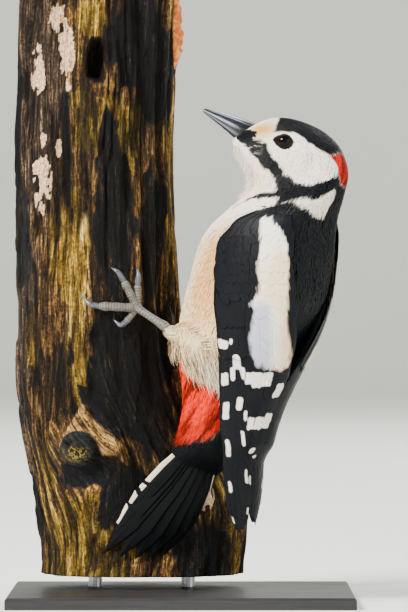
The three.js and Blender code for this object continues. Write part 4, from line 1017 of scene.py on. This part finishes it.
def white_of_wing(share, z, side):
    """Distance in millimetres to the nearest white marking of the wing, positive inside one: an
    outline for the shoulder patch, and rounded blocks for the spots, some leaning, all with
    slightly uneven edges."""
    share, z = np.broadcast_arrays(share, z)
    p = np.stack([share * ROUND + 4 * (side < 0), z], -1)
    laid = np.stack([share * ROUND, z, 0 * z], -1)
    frayed, wisps = drift(laid, (1.3, 2.4, 1), 55, 2) - 0.5, drift(laid, (0.7, 3.5, 1), 56, 2) - 0.5
    patch = inside(np.array(SHOULDER) * [ROUND, 1], p) + 2.6 * wisps
    spots = np.full(p.shape[:-1], -99.0)
    across = arc(z)
    for s, h, wide, tall, lean in (SPOTS if side > 0 else FAR_SPOTS):
        dx = np.abs((share - s) * across - lean * (z - h)) - wide + CORNER
        dz = np.abs(z - h) - tall + CORNER
        d = CORNER - np.hypot(np.maximum(dx, 0), np.maximum(dz, 0)) - np.minimum(np.maximum(dx, dz), 0)
        spots = np.maximum(spots, d)
    return patch, spots + 0.9 * frayed


def wing_colour(tree):
    """Blue-black, with the markings cut sharp by their distance: shoulder white to buff and
    bluish grey at its lower front, spots white."""
    cloud = noise(where_on(tree), 160.0)
    black = blend(cloud, "#0a0b0e", "#12151a")
    patch = blend(tone(tree, "warm"), "#f6f0e8", "#f0d6b2")
    patch = blend(tone(tree, "cool"), patch, "#b4b6c6")
    black = blend(stretch(tone(tree, "patch"), -0.7, 0.7), black, patch)
    return blend(stretch(tone(tree, "spot"), -0.25, 0.25), black, "#e6dfd6")


wing_feather = feather_finish("wing_feather", wing_colour, Specular_IOR_Level=0.08)


def two_sided(low, high, many):
    """Places across a thin blade, over its face and back under it, and 1 for those under it."""
    over = np.linspace(low, high, many)
    return (np.concatenate([over, over[1:-1][::-1]])[None, :],
            np.concatenate([np.zeros(many), np.ones(many - 2)])[None, :])


def wing_feathers(name, side, roots, grain, blunt, wear=0.0, dome=0.2):
    """Feathers laid on the folded wing. Each row of roots is (height, share) of the root and of
    the tip, width, and how proud root and tip stand. Along a feather a goes from 0 to 1 and
    across it b from -1 to 1: its half-width grows to a blunt end and its vane is slightly
    domed, with a shaft down its middle."""
    deep, across = grain
    roots = np.asarray(roots, float)[:, :, None, None]
    z0, s0, z1, s1, wide, p0, p1 = (roots[:, k] for k in range(7))
    a = (1 - (1 - np.linspace(0, 0.997, deep)) ** 1.25)[None, :, None]
    b, under = two_sided(-1, 1, across + 1)
    end = np.maximum(a - blunt, 0) / (1 - blunt)
    shape = np.minimum(1, 0.5 + 1.3 * a) * np.sqrt(np.maximum(1 - end ** 2.2, 0.0))
    frayed = drift(np.stack(np.broadcast_arrays(b * 3, z0 + 9 * a, s0 * 40), -1), 1.1, 50, 2) - 0.5
    offset = b * wide / 2 * shape * (1 + wear * frayed)
    z = z0 + (z1 - z0) * a + 0.02 * (z1 - z0) * (1 - b ** 2) * a
    share = s0 + (s1 - s0) * a + offset / np.maximum(arc(z), 6)
    shaft = dome * 0.4 * np.exp(-(b / 0.10) ** 2)
    proud = p0 + (p1 - p0) * a - dome * b ** 2 * (1 - 0.4 * a) + shaft - 0.1 * under
    p = wing_skin(z, share, proud, side)
    patch, spot = white_of_wing(share, z, side)
    cool = step(131, 124, z) * step(0.8, 0.62, share)
    warm = (step(0.66, 0.9, share) * step(158, 140, z)
            + 0.8 * step(150, 138, z) * step(122, 128, z) * step(0.3, 0.7, share))
    seeds = np.random.default_rng(len(roots)).uniform(0, 50, (len(roots), 1, 1))

    def kept(value):
        return with_poles(value + 0 * (z + b)).ravel()
    length = np.hypot((z1 - z0), (s1 - s0) * ROUND)
    vane = np.stack([kept(seeds + np.abs(offset) * 2.2 + a * length * 2.6),
                     kept(seeds + np.abs(offset) * 0.12 + 0 * a)], -1)
    piece = stitched(name, *closed_forms(p, p[:, -1].mean(1)), wing_feather, maps={"vane": vane},
                     tones={"patch": kept(patch), "spot": kept(spot), "cool": kept(np.clip(cool, 0, 1)),
                            "warm": kept(np.clip(warm, 0, 1))})
    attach(piece, "root")


def lapped(rows, jitter, seed):
    """Roots of coverts in lapped rows. Each row is (height, first and last share, how many,
    length, width, slant of the tip in share, how proud root and tip stand)."""
    rng = np.random.default_rng(seed)
    out = []
    for z, first, last, many, long, wide, slant, p0, p1 in rows:
        for s in np.linspace(first, last, many):
            dz, ds = rng.normal(0, jitter, 2)
            out.append((z + dz, s + ds / ROUND, z + dz - long, s + ds / ROUND + slant, wide, p0, p1))
    return out


flight = [  # the outermost flight feather first; each later one lies over the one before
    (112, 0.09, 37.5, 0.14, 6.5, -0.9, -0.8), (112, 0.14, 32.4, 0.42, 6.8, -0.8, -0.6),
    (112, 0.24, 34, 0.68, 7.0, -0.7, -0.4), (112, 0.34, 41, 0.86, 7.4, -0.6, -0.2),
    (112, 0.44, 50, 0.92, 8.0, -0.5, -0.1), (112, 0.52, 58.5, 0.92, 8.6, -0.45, 0.0),
    (113, 0.60, 62.5, 0.89, 9.2, -0.4, 0.1), (114, 0.68, 69, 0.90, 9.8, -0.35, 0.2),
    (116, 0.76, 77, 0.90, 10.5, -0.3, 0.3), (118, 0.82, 86, 0.88, 11.5, -0.25, 0.4),
    (120, 0.88, 94, 0.86, 12.0, -0.2, 0.5)]
for label, side in (("left", 1), ("right", -1)):
    z = np.linspace(166.3, 32.5, 150)[:, None]
    share, under = two_sided(-0.01, 1.01, 25)
    thick = np.interp(-z, -WING[:, 0], WING[:, 8])
    shell = wing_skin(z, share + 0 * z, -1.1 - np.maximum(thick - 1.1, 0.15) * under, side)
    points, faces = closed_forms(shell[None], shell[-1].mean(0)[None])
    unmarked, untinted = np.full(len(points), -9.0), np.zeros(len(points))
    base = stitched(f"wing_shell_{label}", points, faces, wing_feather, maps={"vane": points[:, [0, 2]]},
                    tones={"patch": unmarked, "spot": unmarked, "cool": untinted, "warm": untinted})
    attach(base, "root")
    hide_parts(f"wing_{label}", f"wing_tip_{label}")
    wing_feathers(f"flight_feathers_{label}", side, flight, (100, 10), 0.90)
    coverts = lapped([(121, 0.09, 0.5, 7, 17, 6.0, 0.03, -0.4, 0.1)], 0.25, 61)
    coverts += lapped([(133, 0.09, 0.6, 8, 16, 5.6, 0.03, -0.2, 0.3)], 0.25, 62)
    coverts += lapped([(z, 0.06, hi, n, 10, 4.2, 0.03, 0.05 + 0.03 * k, 0.4) for k, (z, hi, n) in enumerate(
        [(137, 0.62, 10), (141, 0.62, 11), (145, 0.64, 11), (149, 0.66, 11), (153, 0.66, 11),
         (157, 0.7, 10), (161, 0.72, 9), (164.5, 0.8, 8), (167, 0.9, 7)])], 0.5, 63)
    wing_feathers(f"coverts_{label}", side, coverts, (16, 8), 0.62, wear=0.25)
    scapulars = lapped([(z, 0.52, 0.97, 7, 9, 5, 0.01, 0.1, 0.5) for z in (168, 164.5, 161)]
                       + [(z, 0.55, 0.99, 6, 12, 6.5, 0.0, 0.2, 0.6) for z in (157, 152, 147, 142)]
                       + [(136, 0.55, 0.97, 4, 16, 9, 0.0, 0.3, 0.65)], 0.6, 64)
    scapulars += [(134, 0.50, 100.4, 0.50, 9.5, 0.3, 0.60), (133, 0.96, 100.6, 0.95, 7.5, 0.3, 0.75),
                  (135, 0.66, 98.9, 0.67, 8.5, 0.4, 0.75), (134, 0.83, 98.6, 0.84, 9.0, 0.5, 0.9)]
    wing_feathers(f"shoulder_feathers_{label}", side, scapulars, (30, 10), 0.62, wear=0.15, dome=0.1)

# -------------------------------------------------------------------------------- the tail
# Ten stiff pointed feathers, fanned and pressed on the trunk as a prop. They are glossy black,
# and the outermost on each side is barred with white down its outer vane.
TAIL_TIPS = [  # middle x and height of each feather's tip, and its width
    (-25.6, 35.1, 7.5), (-30.2, 26.6, 9.0), (-32.6, 20.8, 9.5), (-26, 19.2, 10), (-19.6, 18.4, 10),
    (-13.2, 18.8, 10), (-7.7, 20.2, 10), (-4.5, 22.8, 8), (-1.6, 25.8, 7), (0.2, 29.6, 5.6)]


def on_trunk(x, z, off, far=False):
    """The point of the trunk's plain skin, on its front or far side, whose x is nearest to the
    given one at that height, moved out by off; and the way the wood faces there."""
    turn = np.linspace(0 if far else -math.pi, math.pi if far else 0, 1441)
    ring = trunk_skin(turn, np.full(1441, float(z)))
    at = ring[np.abs(ring[:, 0] - x).argmin()]
    row = smooth(TRUNK, np.interp(z, TRUNK[:, 0], np.arange(len(TRUNK))))
    way = unit(np.array([(at[0] - row[1]) / row[3] ** 2, (at[1] - row[2]) / row[4] ** 2, 0]))
    return at + way * off, way


def tail_colour(tree):
    """Glossy black along the shaft and vanes, white where the outer vane is barred."""
    black = blend(noise(where_on(tree), 120.0), "#040506", "#0b0d10")
    return blend(stretch(tone(tree, "spot"), -0.2, 0.2), black, "#dccfb8")


tail_feather = feather_finish("tail_feather", tail_colour, Specular_IOR_Level=0.08)
blades, bars, maps = [], [], []
for i, (tip_x, tip_z, wide) in enumerate(TAIL_TIPS):
    start = np.array([10.2, -18.6, 66.0]) + np.array([-0.74, -0.45, 0.5]) * 6.4 * (4.5 - i) / 4.5
    end, way = on_trunk(tip_x, tip_z, 1.0)
    ahead = end - start
    across = unit(np.cross(ahead, way))
    out = unit(np.cross(across, ahead))
    stack = (4 - (abs(i - 4.5) - 0.5)) * 0.45  # the middle feathers lie on the outer ones
    f = (1 - (1 - np.linspace(0, 0.998, 90)) ** 1.15)[:, None]
    b, under = two_sided(-1, 1, 13)
    point = np.where(f > 0.7, 1.06 - 3.3 * np.maximum(f - 0.7, 1e-6) ** 1.02, 1)
    half = np.maximum(wide / 2 * np.minimum(1, 0.5 + 1.4 * f) * point, 0.12)
    half = half * np.sqrt(np.maximum(1 - np.maximum(f - 0.96, 0) / 0.04, 0.02))
    frayed = drift(np.stack(np.broadcast_arrays(b * 6 + i * 9, f * 90, 0), -1), 2.2, 70, 2) - 0.5
    worn = 1 + 0.4 * step(0.7, 0.95, f) * frayed
    bow = 3.2 * np.sin(math.pi * f) + stack * (1 - 0.6 * f)
    shaft = 0.16 * np.exp(-(b / 0.09) ** 2)
    lift = bow - 0.30 * b ** 2 + shaft - 0.22 * under * (1 - 0.6 * f)
    blades.append(start + ahead * f[..., None] + across * (half * b * worn)[..., None]
                  + out * lift[..., None])
    # White bars on the outer vane: two notches part them, and they end short of shaft and tip.
    outmost, off = i in (0, 9), b * half * (1 if i < 5 else -1)
    notch = np.minimum(np.abs(f - 0.56 - 0.02 * b) * 100 - 1.8, np.abs(f - 0.70 + 0.03 * b) * 100 - 2.6)
    edge = np.minimum(off - (0.42 if outmost else 0.6) * half, np.abs(off - 0.66 * half) - 0.12 + f * 0.3)
    ends = 0.97 - f if outmost else np.minimum(0.86 - f, f - 0.6)
    white = np.minimum(np.minimum(edge, notch), ends * 60)
    bars.append(white if outmost or i == 1 else white * 0 - 9)
    maps.append(np.stack(np.broadcast_arrays(i * 7 + half * np.abs(b) * 1.6 + f * 60,
                                             i * 5 + half * np.abs(b) * 0.1), -1))
blades = np.stack(blades)
tail = stitched("tail_feathers", *closed_forms(blades, blades[:, -1].mean(1)), tail_feather,
                maps={"vane": with_poles(np.stack(maps))},
                tones={"spot": with_poles(np.stack(bars)).ravel()})
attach(tail, "root")
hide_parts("tail")

# ------------------------------------------------------------------------ the legs and feet
# Scaly grey legs with two toes up and two out to the sides and back, gripping the wood. Broad
# plates ring each toe, and a curved claw of bluish horn hooks into a crack in the wood.
scaly, tree = blank("leg_scales", Specular_IOR_Level=0.4)
grit = noise(where_on(tree), 1500.0, 3.0)
bone = blend(stretch(grit, 0.3, 0.7), "#3d3b37", "#77736a")
dress(blend(stretch(tone(tree, "plate"), 0.35, 0.0), bone, "#1f1e1d"), grit,
      (0.42, 0.65), (0.4, 0.0002))
claw_horn, tree = blank("claw_horn", Specular_IOR_Level=0.55, Coat_Weight=0.3, Coat_Roughness=0.25)
cloud = noise(where_on(tree), 900.0)
blue = blend(stretch(cloud, 0.3, 0.7), "#34363f", "#585b68")
dress(blend(tone(tree, "ridge"), blue, "#9a9dae"), cloud, (0.25, 0.4))


def carried(line, radii, deep, around, plates=0.0, pitch=1.0):
    """A round profile carried along the smooth curve through a few points, its radius read from
    a short table. Plates swell it in short even steps, steep at one end like lapped scales.
    Gives its rings, its tip and how far each ring stands from a joint between plates."""
    s = np.linspace(0, 1, deep)
    c = smooth(np.asarray(line), s * (len(line) - 1))
    ahead = unit(np.gradient(c, axis=0))
    side = unit(np.cross(ahead, [0.31, 0.87, 0.39]))
    over = np.cross(ahead, side)
    wave = (measured(c) / pitch) % 1
    swell = plates * (np.sqrt(np.clip(wave * 6, 0, 1)) * (1 - 0.55 * wave))
    radius = smooth(np.asarray(radii, float)[:, None], s * (len(radii) - 1))[..., 0] + swell
    turn = np.linspace(0, 2 * math.pi, around, endpoint=False)
    ring = (c[:, None] + side[:, None] * (radius[:, None] * np.cos(turn))[..., None]
            + over[:, None] * (radius[:, None] * np.sin(turn))[..., None])
    return ring, c[-1] + ahead[-1] * radius[-1] * 0.6, np.minimum(wave, 1 - wave) * 2


# A toe's radius at its joints and between them, as shares of its own.
KNUCKLES = np.array([1.1, 1.0918, 0.9118, 1.0185, 0.92, 1.05, 0.6])
LEGS = (  # ankle; palm's x and height; far side or not; toes: place, radius, claw's place and bow
    ("left", (-5.0, -41.0, 116.2), (-19.7, 125.2), False,
     ((1, -24.0, 119.0, 1.35, -28.4, 120.2, -1.6), (2, -19.2, 135.3, 1.45, -19.0, 142.0, 0.3),
      (3, -24.9, 136.8, 1.65, -29.4, 142.0, 0.8), (4, -34.9, 126.0, 1.75, -41.9, 131.0, -1.5))),
    ("right", (15.5, 2.5, 101.5), (-2.5, 109.0), True,
     ((1, -5.0, 103.5, 1.35, -8.5, 104.2, -1.5), (2, -1.6, 118.5, 1.45, -1.9, 125.0, 0.4),
      (3, -7.5, 119.6, 1.65, -12.5, 124.8, 0.9), (4, -18.0, 111.0, 1.75, -25.5, 114.8, -1.3))),
)
TOE_DEEP, TOE_ROUND, CLAW_DEEP, SHANK_ROUND = 96, 16, 40, 20
heels = []
for label, ankle, (foot_x, foot_z), far, toes in LEGS:
    palm = on_trunk(foot_x, foot_z, 2.7, far)[0]
    ankle = np.array(ankle)
    heels.append((ankle, palm))
    parts, joints = [], []
    for number, x, z, r, claw_x, claw_z, bow in toes:
        mid = on_trunk((foot_x + x) / 2, (foot_z + z) / 2, r + 1.1, far)[0]
        line = [palm, mid, on_trunk(x, z, r + 0.2, far)[0]]
        ring, tip, near = carried(line, r * KNUCKLES, TOE_DEEP, TOE_ROUND, 0.16, 1.15)
        parts.append((ring, tip))
        joints.append(near)
        half = ((x + claw_x) / 2, (z + claw_z) / 2 + bow)
        hook = [line[2], on_trunk(*half, r + 0.9, far)[0], on_trunk(claw_x, claw_z, 0.75, far)[0]]
        ring, tip, _ = carried(hook, [1.3, 1.25, 1.1, 0.85, 0.55, 0.18], CLAW_DEEP, TOE_ROUND)
        turn = np.linspace(0, 2 * math.pi, TOE_ROUND, endpoint=False)
        ridge = np.tile(np.exp(-((turn - math.pi * 1.5) / 0.7) ** 2) * 0.8, CLAW_DEEP)
        claw = stitched(f"claw_{label}_{number}", *closed_forms(ring[None], tip[None]), claw_horn,
                        tones={"ridge": np.append(ridge, [0, 0.4])})
        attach(claw, "root")
        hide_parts(f"claw_{label}_{number}")
    ball = [palm + (ankle - palm) * 0.12, palm, palm - (ankle - palm) * 0.1]
    parts.append(carried(ball, [1.2, 2.0, 2.3, 2.0, 1.1], TOE_DEEP, TOE_ROUND, 0.1, 1.0)[:2])
    joints.append(np.ones(TOE_DEEP))
    points, faces = closed_forms(np.stack([p[0] for p in parts]), np.stack([p[1] for p in parts]))
    near = np.repeat(np.stack(joints)[:, :, None], TOE_ROUND, 2).reshape(len(parts), -1)
    near = np.concatenate([near, np.ones((len(parts), 2))], 1).ravel()
    foot = stitched(f"foot_{label}", points, faces, scaly, tones={"plate": near})
    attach(foot, "root")
    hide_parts(f"foot_{label}")
    line = [ankle + (ankle - palm) * 0.05, (ankle + palm) / 2, palm]
    ring, tip, near = carried(line, [1.3, 2.0, 1.7, 1.5, 1.45, 1.5, 1.75], 120, SHANK_ROUND, 0.16, 1.5)
    shank = stitched(f"shank_{label}", *closed_forms(ring[None], tip[None]), scaly,
                     tones={"plate": np.append(np.repeat(near, SHANK_ROUND), [1, 1])})
    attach(shank, "root")
    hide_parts(f"shank_{label}")

# -------------------------------------------------------------------------- the leg feathers
# Loose buff and grey-brown feathers clothe each leg down to its heel. They sit on a cone round
# the thigh's end, longest at its rim, and droop over the heel.
MANY = 520
rng = np.random.default_rng(31)
rings, tips, roots = [], [], []
for (ankle, palm), (hip, _) in zip(heels, THIGHS):
    down_leg = unit(ankle - hip)
    beside = unit(np.cross(down_leg, [0, 0, 1]))
    spread = rng.uniform(0, 2 * math.pi, MANY)[:, None]
    back = rng.uniform(0.4, 10, MANY)[:, None]
    long = np.minimum(rng.uniform(4.5, 7.5, (MANY, 1)), back + rng.uniform(0.8, 3.4, (MANY, 1)))
    ray = beside * np.cos(spread) + np.cross(beside, down_leg) * np.sin(spread)
    course = []
    for f, w in ((0.0, 0.6), (0.42, 1.0), (0.78, 0.8), (1.0, 0.0)):
        along = f * long - back
        gap = 2.4 + 0.34 * np.maximum(-along, 0) - 0.45 * np.maximum(along, 0) - 0.5 * (f == 0)
        droop = np.array([0, 0, 0.34]) * long * f ** 2
        c = ankle + 0.04 * (ankle - palm) + down_leg * along + ray * gap - droop
        half = 0.24 * w
        aside, low = np.cross(down_leg, ray) * half, ray * half * 0.3
        course.append(np.stack([c - aside - low, c + low, c + aside - low], 1))
    rings.append(np.stack(course[:3], 1))
    tips.append(course[3].mean(1))
    roots.append(course[0].mean(1))
rings, tips, roots = (np.concatenate(v) for v in (rings, tips, roots))
tt, aa = (v.ravel() for v in np.meshgrid(np.linspace(9.5, 14.5, 70), np.linspace(-math.pi, math.pi, 150),
                                         indexing="ij"))
nearest = np.linalg.norm(hide(tt, aa, 0)[None] - roots[:, None], axis=-1).argmin(1)
offset = rng.uniform(0, 60, (len(rings), 1))
dust = rng.random((len(rings), 1)) ** 1.3 * 0.9
tints = CREAM * 0.92 + (rgb("#6a5e50") - CREAM * 0.92) * dust
# Painted shade: the leg feathers are darker near their roots, where the ones over them shade them.
tints = tints[:, None] * np.where(UP < 0.2, 0.8, 1.0)[None, :, None]
cuffs = coat("coat_cuffs", rings, tips, tt[nearest], aa[nearest], offset, 1.4, 1.3, tints)
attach(cuffs, "root")
